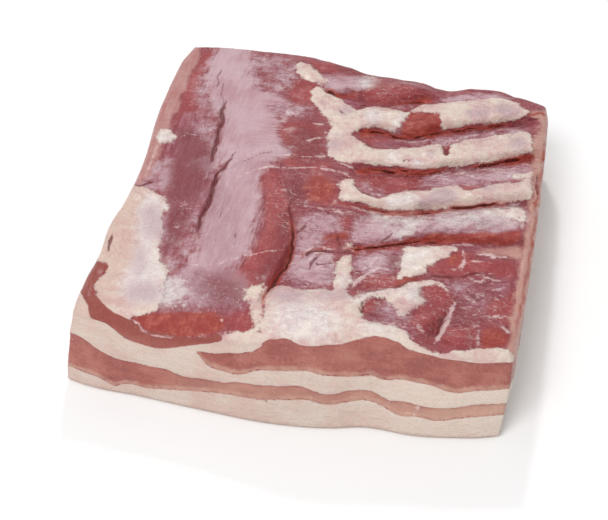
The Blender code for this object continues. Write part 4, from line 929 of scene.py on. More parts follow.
FRONT_MARKS: tuple[Patch | Streak, ...] = (
    Patch(T.FAT, (51.5, -39, 61.5, -37, 75, -34, 82, -33.5, 83, -37, 78, -41.5, 75, -46.5, 69, -49.5, 68, -54,
        67, -59, 60.5, -63, 54.5, -66, 51.5, -68, 53, -63, 54, -56.5, 53, -46.5), 1.0),
    Patch(T.FAT, (17, -59.5, 21, -53.5, 25.5, -51, 26, -57.5, 27, -66, 28.5, -74, 28, -80.5, 23.5, -86.5,
        20, -81.5, 19.5, -70.5), 0.8),
    Patch(T.FILM, (6.5, -56.5, 11, -52, 15, -54.5, 14.5, -60, 10, -63.5, 6.5, -61), 0.9),
    Patch(T.FAT, (18.5, -47, 21.5, -42, 25, -45, 22, -49.5), 0.5),
    Patch(T.BLUSH, (104.5, -29, 112, -25.5, 118, -24.5, 119.5, -34.5, 113.5, -35.5, 105.5, -35.5, 98.5, -35.5,
        91.5, -34, 98, -31), 0.6),
    Patch(T.FILM, (-11, -26.5, -2, -21, 8.5, -21.5, 14, -30, 9.5, -38.5, 3.5, -43, -1.5, -52, -5, -57,
        -9, -49.5), 0.4),
    Patch(T.FILM, (-6.5, -66, -6.5, -47, -1.5, -41.5, 6, -42.5, 6, -56.5, 14, -60, 18, -74.5, 10, -80,
        0, -80.5, -6.5, -76), 0.5),
    Patch(T.FILM, (21.5, -27, 27, -17.5, 41.5, -14.5, 47.5, -21.5, 47.5, -30.5, 36.5, -39, 26.5, -42), 0.4),
    Patch(T.FILM, (27.5, -54, 36, -49.5, 47, -48, 51.5, -54, 44.5, -61, 35, -64, 29, -62), 0.35),
    Patch(T.FAT, (-17.5, -88.5, -9, -85, 2.5, -86, 13, -83, 22, -83.5, 27, -80.5, 31, -86.5, 34.5, -88,
        37, -84.5, 39, -80, 45, -76, 51.5, -74, 57.5, -72, 62.5, -67.5, 67.5, -64.5, 73, -63.5, 78, -66,
        82.5, -69.5, 79.5, -69.5, 73.5, -67, 68, -68.5, 67, -74, 71, -81, 66.5, -85.5, 63, -92.5, 59.5, -96.5,
        56.5, -92, 52, -85, 48.5, -82.5, 42, -83, 38, -87.5, 37, -93, 38.5, -99, 42, -103, 49.5, -103,
        57, -103, 63, -105.5, 68, -111.5, 73, -115, 77.5, -118.5, 84, -118.5, 92, -114.5, 99, -114,
        104, -110.5, 108, -111, 114, -108.5, 120.5, -108.5, 124.5, -117.5, 116, -127.5, 95.5, -129,
        74.5, -126.5, 58, -122.5, 38, -129.5, 13, -135, -7.5, -136.5, -13, -121, -14, -107, -16.5, -98), 0.9),
    Patch(T.WHITE, (-8.5, -98, 4, -93.5, 21, -95, 29.5, -105.5, 26, -120.5, 6.5, -126, -6, -119.5), 0.35),
    Patch(T.WHITE, (31.5, -88, 35, -82.5, 41, -78, 50.5, -75.5, 60, -72, 66, -69, 69, -73.5, 62.5, -75,
        54, -78, 45.5, -80, 38.5, -84.5, 35.5, -90, 32.5, -94), 0.7),
    Patch(T.WHITE, (57, -76, 63, -72, 67, -75.5, 70, -80.5, 65, -84.5, 60.5, -83.5), 0.7),
    Patch(T.WHITE, (21.5, -70.5, 25.5, -67.5, 28, -75.5, 24.5, -79.5), 0.6),
    Patch(T.WHITE, (53, -41.5, 64, -39, 71, -39.5, 67.5, -48.5, 60, -57, 55, -56.5), 0.4),
    Patch(T.WHITE, (40.5, -108, 47.5, -105, 55.5, -106.5, 59.5, -110, 51, -112.5, 44, -113.5), 0.3),
    Patch(T.LILAC, (-15, -89.5, -3, -88, 5.5, -85, 9, -91, 4, -98.5, -8, -99.5), 0.4),
    Patch(T.LILAC, (8.5, -84.5, 18.5, -83.5, 25.5, -84.5, 28.5, -89.5, 20, -92, 11, -90.5), 0.5),
    Patch(T.LILAC, (22, -83.5, 27, -80.5, 30, -86.5, 26.5, -91.5), 0.5),
    Patch(T.CUT, (-16, -140, -10, -131, -6, -126.5, 2, -125, 12, -127, 25, -126, 33, -122, 40, -116.5,
        55, -113.5, 65, -117, 75, -120.5, 85, -122.5, 100, -124, 112, -125, 134, -130, 134, -170, -20, -170)),
    Patch(T.HAZE, (5.5, -68.5, 10, -64.5, 15, -60, 19.5, -67.5, 19.5, -77.5, 16, -81.5, 9, -81,
        4.5, -75.5), 0.7),
    Patch(T.HAZE, (-7, -64.5, -5, -58, 1, -63, 0.5, -76.5, -5.5, -76), 0.6),
    Patch(T.HAZE, (26.5, -53, 33, -51, 40.5, -49.5, 47.5, -49.5, 42, -57.5, 36, -64, 29.5, -65,
        26.5, -61), 0.7),
    Patch(T.HAZE, (64.5, -65.5, 70.5, -61, 78, -58.5, 87.5, -57, 91.5, -60.5, 91, -67, 86, -70.5, 80.5, -68,
        74, -64, 68.5, -64.5), 0.8),
    Patch(T.HAZE, (50.5, -84, 56.5, -85, 61.5, -91, 61, -99, 54.5, -99, 49, -92), 0.6),
    Patch(T.PURPLE, (25.5, -52.5, 34.5, -49, 50.5, -40.5, 54, -51.5, 52.5, -59.5, 46, -62, 38, -62, 32, -65.5,
        27, -60.5), 0.9),
    Patch(T.PURPLE, (-4.5, -79, 1.5, -74.5, 4.5, -79, 2, -84.5, -3.5, -84.5), 0.7),
    Patch(T.PURPLE, (5, -67, 16, -59.5, 20, -70.5, 17.5, -79.5, 9, -79.5), 0.7),
    Patch(T.PURPLE, (78, -32.5, 88.5, -28.5, 105.5, -27, 111.5, -29, 105, -33, 95, -34.5, 84, -35), 0.8),
    Patch(T.PURPLE, (88.5, -63, 98.5, -64, 105, -71, 103.5, -77.5, 96.5, -82, 90, -77, 86.5, -71.5), 0.8),
    Patch(T.PURPLE, (48, -86, 54, -83, 63, -92.5, 68, -103.5, 74.5, -113, 66, -110.5, 59, -102.5,
        50.5, -101.5, 41.5, -101.5, 40, -97, 46, -94.5), 0.8),
    Patch(T.PURPLE, (100.5, -60.5, 112, -56, 116, -63.5, 110, -69.5, 103.5, -68), 0.5),
    Patch(T.PURPLE, (5.5, -41, 3.5, -48.5, -0.5, -56.5, -0.5, -63, 3.5, -65.5, 5.5, -58.5, 10, -52.5,
        5, -50), 0.6),
    Patch(T.BRIGHT, (1, -52.5, 5, -44.5, 11.5, -41.5, 17.5, -42, 17.5, -47, 10.5, -49.5, 5.5, -52.5, 1, -59.5,
        -0.5, -58), 0.9),
    Patch(T.BRIGHT, (23.5, -51, 29.5, -46.5, 40.5, -42.5, 50, -38.5, 51.5, -42.5, 42.5, -48, 33, -52,
        26.5, -54), 0.9),
    Patch(T.BRIGHT, (33.5, -74.5, 35.5, -67.5, 40.5, -63, 47, -62.5, 52, -64.5, 56, -69, 53.5, -73.5,
        46, -76.5, 39, -79, 35, -78), 0.7),
    Patch(T.BRIGHT, (30.5, -85, 31.5, -79, 36, -78, 37, -83.5, 34, -88), 0.9),
    Patch(T.BRIGHT, (37.5, -91.5, 39, -87, 44.5, -84.5, 49, -85, 50, -90.5, 45, -96, 40.5, -99.5,
        38.5, -96), 1.2),
    Patch(T.BRIGHT, (68, -57, 69, -52, 76.5, -47, 79, -40.5, 84, -36.5, 91, -37, 96, -41, 103.5, -41,
        116.5, -38.5, 118, -50.5, 108.5, -53, 100.5, -51, 95, -52.5, 88.5, -56, 81, -57.5, 74.5, -57.5), 0.9),
    Patch(T.BRIGHT, (67, -72, 69.5, -67.5, 74.5, -66, 80.5, -68.5, 85, -74, 86, -81, 83.5, -85.5, 79, -82.5,
        73.5, -82, 70, -77.5), 1.0),
    Patch(T.BRIGHT, (65, -90.5, 68.5, -85.5, 74.5, -82.5, 80.5, -84, 83.5, -88, 82, -94.5, 80.5, -102,
        79, -109, 76.5, -114, 70, -112.5, 65.5, -107.5, 62.5, -102, 64.5, -95), 0.8),
    Patch(T.BRIGHT, (102, -76, 107, -73.5, 113, -64, 118, -60, 121.5, -73.5, 120.5, -89.5, 116.5, -92,
        111, -87, 105, -83.5), 0.7),
    Patch(T.BRIGHT, (82, -113, 85, -101.5, 88.5, -96.5, 96.5, -94, 101, -96.5, 102.5, -107, 99, -112.5,
        89.5, -114.5), 0.7),
    Patch(T.DARK, (68.5, -105, 75, -99, 81, -98, 80, -107, 77, -114, 71.5, -112), 0.4),
    Patch(T.DARK, (81, -82, 84.5, -84.5, 83.5, -92.5, 80.5, -102.5, 78.5, -101.5, 80.5, -92), 0.5),
    Patch(T.DARK, (84.5, -75, 90, -74, 91.5, -88, 89, -93, 86, -86), 0.6),
    Patch(T.DARK, (39, -97.5, 45, -94.5, 50, -98, 45, -101.5), 0.6),
    Patch(T.DARK, (45, -50, 51.5, -47, 53.5, -53.5, 51, -59, 46, -56.5), 0.7),
    Patch(T.RAW, (103, -98, 107, -92.5, 112.5, -93.5, 119, -97.5, 119.5, -105, 113, -109.5, 106, -110), 0.4),
    Patch(T.RAW, (52, -68, 56.5, -64.5, 61, -63.5, 67, -60.5, 65.5, -65, 59.5, -70.5, 54.5, -72.5), 0.8),
    Patch(T.RAW, (76.5, -47, 79, -41, 84, -37.5, 89, -39, 85, -45, 80, -49.5), 0.6),
    Streak(T.RAW, (-2.5, -63.5, -1, -54.5, 5, -50, 12.5, -47.5), 1.6),
    Streak(T.RAW, (70.5, -60, 79, -58, 87.5, -57, 95, -53), 1.8),
    Streak(T.RAW, (47.5, -105, 56, -103, 63, -106.5), 1.6),
    Streak(T.SINEW, (-2, -60, -0.5, -53.5, 4, -48.5, 11.5, -48, 18, -48), 1.3),
    Streak(T.SINEW, (2.5, -62.5, 4, -57, 8, -52.5, 14.5, -51.5), 1.0),
    Streak(T.SINEW, (7.5, -73, 8.5, -66.5, 12, -63, 16.5, -59.5), 0.9),
    Streak(T.SINEW, (28, -56, 32, -56.5, 36.5, -59.5, 38, -54, 41, -50), 1.0),
    Streak(T.SINEW, (28, -62, 32.5, -63, 37.5, -58.5), 0.8),
    Streak(T.SINEW, (33, -71, 36.5, -64.5, 41, -59.5, 47, -60), 1.6),
    Streak(T.SINEW, (30, -78.5, 32, -71.5, 35, -65), 1.8),
    Streak(T.SINEW, (85.5, -33, 87, -39.5, 87.5, -46, 87, -53), 1.6),
    Streak(T.SINEW, (90.5, -44, 97, -41, 104, -42), 0.8),
    Streak(T.SINEW, (76, -52, 82.5, -52.5, 89, -47.5), 0.8),
    Streak(T.SINEW, (92, -35, 98.5, -35.5, 106.5, -37, 113.5, -35.5), 1.3),
    Streak(T.SINEW, (79, -32.5, 86.5, -29.5, 94.5, -29), 1.0),
    Streak(T.SINEW, (71, -64, 75.5, -65, 80.5, -68, 84.5, -72), 1.4),
    Streak(T.SINEW, (91.5, -58, 94, -60.5, 98, -60, 100, -56, 104, -57, 108, -57, 111.5, -57), 1.9),
    Streak(T.SINEW, (92, -56, 96, -53.5, 102, -54), 1.0),
    Streak(T.SINEW, (103, -64.5, 107.5, -64.5, 111, -62), 1.1),
    Streak(T.SINEW, (98, -73, 99, -68.5, 102, -70.5), 1.1),
    Streak(T.SINEW, (105.5, -74.5, 108, -72.5, 113.5, -69.5), 1.1),
    Streak(T.SINEW, (89.5, -70.5, 94, -74, 99, -78.5), 1.1),
    Streak(T.SINEW, (79, -84, 81.5, -86, 83.5, -88), 1.1),
    Streak(T.SINEW, (87, -76, 86.5, -84.5, 85, -92.5, 83, -101.5, 81, -108.5, 78.5, -114.5), 2.6),
    Streak(T.SINEW, (105, -87.5, 108.5, -84.5, 113, -85, 116, -83), 1.4),
    Streak(T.SINEW, (112.5, -90.5, 114.5, -93, 118, -97), 2.2),
    Streak(T.SINEW, (102, -93.5, 103, -101, 103, -110), 1.5),
    Streak(T.SINEW, (67, -100, 71, -101.5, 74.5, -105.5), 0.7),
    Streak(T.SINEW, (62.5, -103.5, 65, -98, 68.5, -99), 0.8),
    Streak(T.SINEW, (92, -98.5, 99, -95, 104, -92.5), 0.8),
    Streak(T.SINEW, (48.5, -101.5, 54.5, -101, 61.5, -104.5, 68, -110, 73, -115), 1.0),
    Streak(T.SINEW, (-11.5, -103.5, -5, -99, 4.5, -97.5, 14, -94), 1.0),
    Streak(T.SINEW, (-9, -110.5, 1, -104.5, 11, -101.5), 0.9),
    Streak(T.SINEW, (-8, -118.5, 3.5, -111, 16.5, -107.5, 28, -104.5), 0.9),
    Streak(T.SEAM_AND_CREASE_SHADE, (0, -61.5, 1, -55, 5.5, -51.5, 12, -50.5, 17, -50), 2.0),
    Streak(T.SEAM_AND_CREASE_SHADE, (5, -70.5, 5, -62, 7.5, -56.5), 1.7),
    Streak(T.SEAM_AND_CREASE_SHADE, (6.5, -61.5, 9, -64.5, 12, -62, 15.5, -59.5), 1.8),
    Streak(T.SEAM_AND_CREASE_SHADE, (13.5, -35, 15.5, -41.5, 18, -48), 1.5),
    Streak(T.SEAM_AND_CREASE_SHADE, (16.5, -50, 20, -50, 24.5, -50), 1.5),
    Streak(T.SEAM_AND_CREASE_SHADE, (31.5, -56.5, 35, -58, 37.5, -61), 1.3),
    Streak(T.SEAM_AND_CREASE_SHADE, (28.5, -65.5, 30.5, -63.5, 33, -66), 1.4),
    Streak(T.SEAM_AND_CREASE_SHADE, (65.5, -59.5, 71.5, -59, 79, -57.5, 85.5, -57, 91, -55, 94.5, -52.5, 101, -52.5), 2.0),
    Streak(T.SEAM_AND_CREASE_SHADE, (51.5, -72, 57.5, -70, 61, -66, 65, -62.5), 1.7),
    Streak(T.SEAM_AND_CREASE_SHADE, (83, -87.5, 81.5, -94, 80.5, -101, 78.5, -107.5), 1.9),
    Streak(T.SEAM_AND_CREASE_SHADE, (35.5, -79, 43, -77.5, 49.5, -75), 1.4),
    Streak(T.SEAM_AND_CREASE_SHADE, (37, -86.5, 37.5, -93, 39, -99.5), 1.4),
    Streak(T.SEAM_AND_CREASE_SHADE, (92.5, -68.5, 96, -72, 100, -75), 1.3),
    Streak(T.SEAM_AND_CREASE_SHADE, (97, -61, 101.5, -59, 104.5, -59.5), 1.4),
    Streak(T.SEAM_AND_CREASE_SHADE, (34, -37.5, 40.5, -35.5, 45, -27.5), 1.3),
    Streak(T.SEAM_AND_CREASE_SHADE, (-9.5, -40.5, -8, -36.5, -7.5, -29.5), 1.3),
    Patch(T.MOTTLE, (-12, -14, 12, -16, 22, -30, 20, -50, 20, -84, 0, -96, -14, -92, -9, -50), 0.7),
    Patch(T.MOTTLE, (40, -84, 64, -84, 68, -104, 60, -110, 38, -104), 0.7),
    Patch(T.MOTTLE, (80, -54, 118, -50, 120, -116, 96, -116, 80, -110, 84, -84), 0.7),
    Patch(T.MOTTLE, (26, -42, 54, -38, 54, -68, 34, -86, 28, -60), 0.7),
    Patch(T.MOTTLE, (60, -72, 84, -70, 82, -116, 62, -112), 0.7),
)
FACE_MARKS: tuple[Streak, ...] = (
    Streak(T.SINEW, (60, 22, 60.5, 16), 1.0),
    Streak(T.SINEW, (76, 21, 74, 14), 1.2),
    Streak(T.SINEW, (-80, 44, -70, 40, -58, 42), 1.0),
    Streak(T.SEAM_AND_CREASE_SHADE, (-6, 17.5, -4, 15), 1.0),
    Streak(T.BLUSH, (10, 4.2, 60, 4.6, 118, 7.0), 1.0),
    Streak(T.BLUSH, (-60, 4.6, -20, 5.2, 10, 4.4), 0.8),
)


@dataclass
class SkinGrid:
    """Points of the skin: a warped sheet on top, rings down the sides and a flat underside."""

    plan: SlabPlan
    relief: TopRelief
    layering: Layering
    eye: PhotoEye
    step: float = 1.22 * MM
    rim: float = 5.0 * MM
    foot: float = 3.0 * MM
    rim_rings: int = 6
    face_rings: int = 27
    foot_rings: int = 4
    corner_fan: float = 14.0 * MM
    reading_level: float = 50.0 * MM
    ease: float = 0.45
    settle_rounds: int = 14
    row_reading: float = 40.0 * MM
    bulge: float = 1.2 * MM
    relief_ease: float = 0.3

    def shares(self, length: float) -> list[float]:
        """Shares of the way between two seams, closer together beside the seams."""
        even = np.linspace(0.0, 1.0, max(3, round(length / self.step)), endpoint=False)
        return list(even - self.ease * np.sin(2.0 * np.pi * even) / (2.0 * np.pi))

    def front_seam(self, x: Array) -> Array:
        """Where the top starts to roll over the front rim."""
        return self.plan.front(x) + self.rim

    def back_seam(self, x: Array) -> Array:
        """Where the top starts to roll over the back rim."""
        return self.plan.back(x) - self.rim

    def left_seam(self, y: Array) -> Array:
        """Where the top starts to roll over the left rim."""
        return self.plan.left(y) + self.rim

    def right_seam(self, y: Array) -> Array:
        """Where the top starts to roll over the right rim."""
        return self.plan.right(y) - self.rim

    def seams(self) -> tuple[list[Seam], list[Seam]]:
        """The seams that rows follow and the seams that columns follow."""
        rows = [self.front_seam, *[slit.line for slit in self.relief.slits], self.back_seam]
        return rows, [self.left_seam, self.relief.crease, self.relief.flank_edge, self.right_seam]

    def sheet(self) -> tuple[Array, Array]:
        """Plan places where the fine rows and columns of the top cross.

        Returns:
            The places across and the places along, row by row.
        """
        rows, columns = self.seams()
        row_numbers = self.numbered([float(seam(np.array([self.row_reading]))[0]) for seam in rows])
        column_numbers = self.numbered([float(seam(np.array([0.0]))[0]) for seam in columns])
        x = np.zeros((len(row_numbers), len(column_numbers)))
        y = np.zeros_like(x)
        for _ in range(self.settle_rounds):
            for i, (gap, share) in enumerate(row_numbers):
                y[i] = rows[gap](x[i]) * (1.0 - share) + rows[gap + 1](x[i]) * share
            for j, (gap, share) in enumerate(column_numbers):
                x[:, j] = columns[gap](y[:, j]) * (1.0 - share) + columns[gap + 1](y[:, j]) * share
        return x, y

    def numbered(self, places: Sequence[float]) -> list[tuple[int, float]]:
        """Number the mesh lines between seams.

        Args:
            places: Where each seam runs, in order.

        Returns:
            For each mesh line, the gap that it lies in and its share of the way across.
        """
        numbers: list[tuple[int, float]] = []
        for gap, (start, end) in enumerate(zip(places[:-1], places[1:])):
            numbers += [(gap, share) for share in self.shares(end - start)]
        return numbers + [(len(places) - 2, 1.0)]

    def border(self, x: Array) -> tuple[Array, Array]:
        """The sheet's border, once round.

        Args:
            x: The sheet's places across.

        Returns:
            Row and column numbers of the border's points.
        """
        rows, columns = x.shape
        front = [(0, j) for j in range(columns)]
        right = [(i, columns - 1) for i in range(1, rows)]
        back = [(rows - 1, j) for j in range(columns - 2, -1, -1)]
        left = [(i, 0) for i in range(rows - 2, 0, -1)]
        once_round = np.array(front + right + back + left)
        return once_round[:, 0], once_round[:, 1]

    def outward(self, x: Array, y: Array, i: Array, j: Array) -> tuple[Array, Array]:
        """How far the rim stands out from each border point, fanned round the corners.

        Args:
            x: The sheet's places across.
            y: The sheet's places along.
            i: Row numbers of the border's points.
            j: Their column numbers.

        Returns:
            The way out, across and along.
        """
        rows, columns = x.shape

        def near(end_i: Array | int, end_j: Array | int) -> Array:
            """How near each border point is to the border's point at the given row or column."""
            gap = np.hypot(x[i, j] - x[end_i, end_j], y[i, j] - y[end_i, end_j])
            return np.clip(1.0 - gap / self.corner_fan, 0.0, 1.0) ** 2

        on_row = (i == 0) | (i == rows - 1)
        on_column = (j == 0) | (j == columns - 1)
        out_y = np.where(i == 0, -1.0, np.where(i == rows - 1, 1.0, 0.0))
        out_x = np.where(j == 0, -1.0, np.where(j == columns - 1, 1.0, 0.0))
        out_x = np.where(on_row & ~on_column, near(i, -1) - near(i, 0), out_x)
        out_y = np.where(on_column & ~on_row, near(-1, j) - near(0, j), out_y)
        return out_x * self.rim, out_y * self.rim

    def rings(self, x: Array, y: Array, z: Array) -> tuple[Array, Array, Array, Array, Array, Array]:
        """Points of the rings from the rim to the foot.

        Args:
            x: The sheet's places across.
            y: The sheet's places along.
            z: The sheet's heights.

        Returns:
            Across, along and up for every ring point, how far it is down the side from 0 to 1, its top's
            height, and 1 on the front face.
        """
        i, j = self.border(x)
        bx, by, bz = x[i, j], y[i, j], z[i, j]
        out_x, out_y = self.outward(x, y, i, j)
        rim_x, rim_y = bx + out_x, by + out_y
        front_share = np.clip(-out_y / self.rim, 0.0, 1.0)
        side_x = np.where(out_x < 0.0, self.plan.left(rim_y, foot=True) - self.plan.left(rim_y),
                          self.plan.right(rim_y, foot=True) - self.plan.right(rim_y))
        foot_x = rim_x + side_x * np.abs(out_x) / self.rim
        foot_y = rim_y + (self.plan.front(rim_x, foot=True) - self.plan.front(rim_x)) * front_share
        norm = np.hypot(out_x, out_y)
        unit_x, unit_y = out_x / norm, out_y / norm
        places = []
        for ring in range(1, self.rim_rings + 1):
            turn = 0.5 * math.pi * ring / self.rim_rings
            places.append((bx + out_x * math.sin(turn), by + out_y * math.sin(turn),
                           bz - self.rim * (1.0 - math.cos(turn)), 0.0))
        for ring in range(1, self.face_rings + 1):
            share = ring / self.face_rings
            height = (bz - self.rim) * (1.0 - share) + self.foot * share
            bulge = self.bulge * math.sin(math.pi * share)
            face_x = rim_x * (1.0 - share) + foot_x * share + bulge * unit_x
            face_y = rim_y * (1.0 - share) + foot_y * share + bulge * unit_y
            places.append((face_x, face_y, height, share))
        for ring in range(1, self.foot_rings + 1):
            turn = 0.5 * math.pi * ring / self.foot_rings
            inset = self.foot * (1.0 - math.cos(turn))
            places.append((foot_x - inset * unit_x, foot_y - inset * unit_y,
                           np.full_like(bz, self.foot * (1.0 - math.sin(turn))), 1.0))
        ring_x, ring_y, ring_z = (np.array([place[axis] for place in places]) for axis in range(3))
        down = np.array([np.full_like(bz, place[3]) for place in places])
        tops = np.broadcast_to(bz, ring_x.shape)
        fronts = np.broadcast_to(front_share, ring_x.shape)
        lean = self.layering.lean_depth(ring_x, ring_y, ring_z)
        rough = self.face_relief(ring_x + ring_y, ring_z, lean)
        rough *= np.sin(np.pi * np.clip(down, 0.0, 1.0)) ** self.relief_ease
        return ring_x + rough * unit_x, ring_y + rough * unit_y, ring_z, down, tops, fronts

    def face_relief(self, along: Array, z: Array, lean: Array) -> Array:
        """How far the cut faces stand in or out: lean draws back a little, and its fibres are rough.

        Args:
            along: Places along the face.
            z: Heights of the points.
            lean: How deep each point lies in lean.

        Returns:
            How far each point stands out.
        """
        in_lean = ramp(lean, -0.4 * MM, 0.9 * MM)
        broad = 0.5 * Lumps(31, (13.0, 9.0))(along, z)
        knife = 0.16 * Lumps(37, (1.9, 9.0))(along, z) * in_lean
        grain = 0.14 * Lumps(35, (2.0, 2.0))(along, z) * in_lean
        return (broad + knife + grain - 0.55 * in_lean) * MM


@dataclass
class Skin:
    """The slab's whole surface as one mesh, with the tissue fields that its finish reads."""

    grid: SkinGrid
    name: str = "belly_skin"
    field_limit: float = 8.0
    from_top_share: float = 0.96

    def build(self) -> bpy.types.Object:
        """Make the skin's mesh and lay the tissue fields on it.

        Returns:
            The skin, as an object in the scene.
        """
        grid = self.grid
        x, y = grid.sheet()
        z = grid.relief.height(x, y)
        ring_x, ring_y, ring_z, down, tops, fronts = grid.rings(x, y, z)
        points = np.concatenate([np.stack([x, y, z], -1).reshape(-1, 3),
                                 np.stack([ring_x, ring_y, ring_z], -1).reshape(-1, 3)])
        mesh = bpy.data.meshes.new(self.name)
        mesh.from_pydata(points.tolist(), [], self.faces(x, len(ring_x)))
        mesh.validate()
        mesh.shade_smooth()
        side = np.concatenate([np.full(x.size, -1.0), down.ravel()])
        front = np.concatenate([np.zeros(x.size), fronts.ravel()])
        top_z = np.concatenate([z.ravel(), tops.ravel()])
        rim_share = np.clip((top_z - points[:, 2]) / grid.rim, 0.0, 1.0)
        fields = self.fields(points, side, front, top_z)
        for label, values in fields.items():
            layer = mesh.attributes.new(label, "FLOAT", "POINT")
            layer.data.foreach_set("value", values.astype(np.float32))
        points[:, 2] += self.swelling(fields, points[:, 0], points[:, 1], rim_share)
        mesh.vertices.foreach_set("co", points.astype(np.float32).ravel())
        mesh.update()
        skin = bpy.data.objects.new(self.name, mesh)
        bpy.context.scene.collection.objects.link(skin)
        return skin

    def faces(self, x: Array, rings: int) -> list[tuple[int, ...]]:
        """Point numbers of every face.

        Args:
            x: The sheet's places across.
            rings: How many rings run round the sides.

        Returns:
            The faces of the sheet, of the sides and of the underside.
        """
        rows, columns = x.shape
        number = np.arange(rows * columns).reshape(rows, columns)
        quads = np.stack([number[:-1, :-1], number[:-1, 1:], number[1:, 1:], number[1:, :-1]], -1)
        i, j = self.grid.border(x)
        above = number[i, j]
        start = rows * columns
        bands = []
        for ring in range(rings):
            below = np.arange(start + ring * len(i), start + (ring + 1) * len(i))
            bands.append(np.stack([above, below, np.roll(below, -1), np.roll(above, -1)], -1))
            above = below
        faces = [tuple(face) for face in np.concatenate([quads.reshape(-1, 4), *bands]).tolist()]
        return faces + [tuple(reversed(above.tolist()))]

    def fields(self, points: Array, side: Array, front: Array, top_z: Array) -> dict[str, Array]:
        """Work out every tissue field.

        Args:
            points: The skin's points.
            side: How far down the side each point is, below zero on the top.
            front: 1 on the front face.
            top_z: Height of the top above each point.

        Returns:
            One value a point for each field, in millimetres.
        """
        x, y, z = points.T
        limit = self.field_limit
        fields = {tissue: np.full(len(x), -limit) for tissue in Tissue}
        read_x, read_y = self.grid.eye.on_level(x, y, z, self.grid.reading_level)
        read_x, read_y = self.wandered(read_x, read_y)
        on_top = (side <= 0.0) & (z > top_z - self.grid.rim - 0.1 * MM)
        for mark in FLANK_MARKS + FINGER_MARKS + FRONT_MARKS:
            self.lay(fields, mark, read_x, read_y, on_top)
        rim_share = np.clip((top_z - z) / self.grid.rim, 0.0, 1.0)
        from_top = np.where((side < 0.0) | (on_top & (rim_share < self.from_top_share)), 1.0, 0.0)
        lean = self.grid.layering.lean_depth(x, y, z) / MM
        for tissue in Tissue:
            fields[tissue] = fields[tissue] * from_top - limit * (1.0 - from_top)
        for tissue, depth in ((Tissue.CUT, lean), (Tissue.FAT, -lean)):
            below = np.clip(depth, -limit, limit) - 2 * limit * from_top
            fields[tissue] = np.maximum(fields[tissue], below)
        on_face = (front > 0.3) & (side > -0.5)
        for mark in FACE_MARKS:
            self.lay(fields, mark, x, z, on_face)
        result = {tissue.value: np.clip(values, -limit, limit) for tissue, values in fields.items()}
        result["side"] = np.clip(1.0 - from_top, 0.0, 1.0)
        result["turn"] = self.turn(x, y, side)
        result["floor_gap"] = self.grid.layering.floor_gap(x, y, z) / MM
        return result

    def swelling(self, fields: dict[str, Array], x: Array, y: Array, rim_share: Array) -> Array:
        """How far tissue stands up on the top: fat and sinew over lean, with creases sunk in.

        Args:
            fields: The tissue fields.
            x: Points across.
            y: Points along.
            rim_share: How far round the rim each point is, from 0 to 1.

        Returns:
            The added height of each point.
        """
        bumps = Lumps(61, (5.2, 2.8))(x, y) + 0.7 * Lumps(62, (2.9, 1.9))(x - 0.3 * y, y)
        rise = 0.9 * ramp(fields["fat"], -1.2, 1.6) + 0.35 * ramp(fields["sinew"], -0.5, 0.4)
        sink = 1.0 * ramp(fields["deep"], -0.9, 0.8) + 0.6 * ramp(fields["groove"], -0.7, 0.6)
        lumps = 0.35 * ramp(fields["fat"], 0.0, 3.0) + 0.5 * ramp(fields["mottle"], -1.0, 3.0)
        near_top = (1.0 - fields["side"]) * np.clip(1.0 - 1.3 * rim_share, 0.0, 1.0)
        return (rise - sink + lumps * bumps) * near_top * MM

    def wandered(self, x: Array, y: Array) -> tuple[Array, Array]:
        """Shift places by soft lumps, so that the listed outlines come out as uneven as torn tissue.

        Args:
            x: Places across.
            y: Places along.

        Returns:
            The shifted places, across and along.
        """
        shift_x = 1.1 * Lumps(51, (9.0, 9.0))(x, y) + 0.7 * Lumps(53, (3.6, 3.6))(x, y)
        shift_y = 1.1 * Lumps(52, (9.0, 9.0))(x, y) + 0.7 * Lumps(54, (3.6, 3.6))(x, y)
        return x + shift_x * MM, y + shift_y * MM

    def lay(self, fields: dict[Tissue, Array], mark: Patch | Streak, x: Array, y: Array,
            where: Array) -> None:
        """Lay one mark into its tissue's field, where points are near enough to see it.

        Args:
            fields: The field of each tissue, which this changes.
            mark: The mark to lay.
            x: Places across on the plane that the mark is read on.
            y: Places along on that plane.
            where: Which points the mark may reach.
        """
        if isinstance(mark, Patch):
            spots, edge = np.array(mark.outline) * MM, self.field_limit / mark.sharp * MM
        else:
            spots, edge = np.array(mark.path) * MM, (self.field_limit + mark.width) * MM
        near = where & (x > spots[::2].min() - edge) & (x < spots[::2].max() + edge)
        near &= (y > spots[1::2].min() - edge) & (y < spots[1::2].max() + edge)
        field = fields[mark.tissue]
        field[near] = np.maximum(field[near], mark.field(x[near], y[near]))

    def turn(self, x: Array, y: Array, side: Array) -> Array:
        """Which way the fibres run.

        Args:
            x: Points across.
            y: Points along.
            side: How far down the side each point is, below zero on the top.

        Returns:
            0 from front to back, 1 across, as on the fingers and the tendon bands.
        """
        rib_side = ramp(x - self.grid.relief.flank_edge(y), -4.0 * MM, 6.0 * MM)
        tendons = ramp(x, -72.0 * MM, -46.0 * MM) * ramp(y, 8.0 * MM, 36.0 * MM)
        pad = ramp(-y, 84.0 * MM, 92.0 * MM) * ramp(-x, -28.0 * MM, -20.0 * MM)
        strip = ramp(x, 110.0 * MM, 117.0 * MM)
        across = np.maximum(rib_side * (1.0 - 0.75 * pad) * (1.0 - strip), tendons)
        return np.where(side > 0.0, 1.0, across)


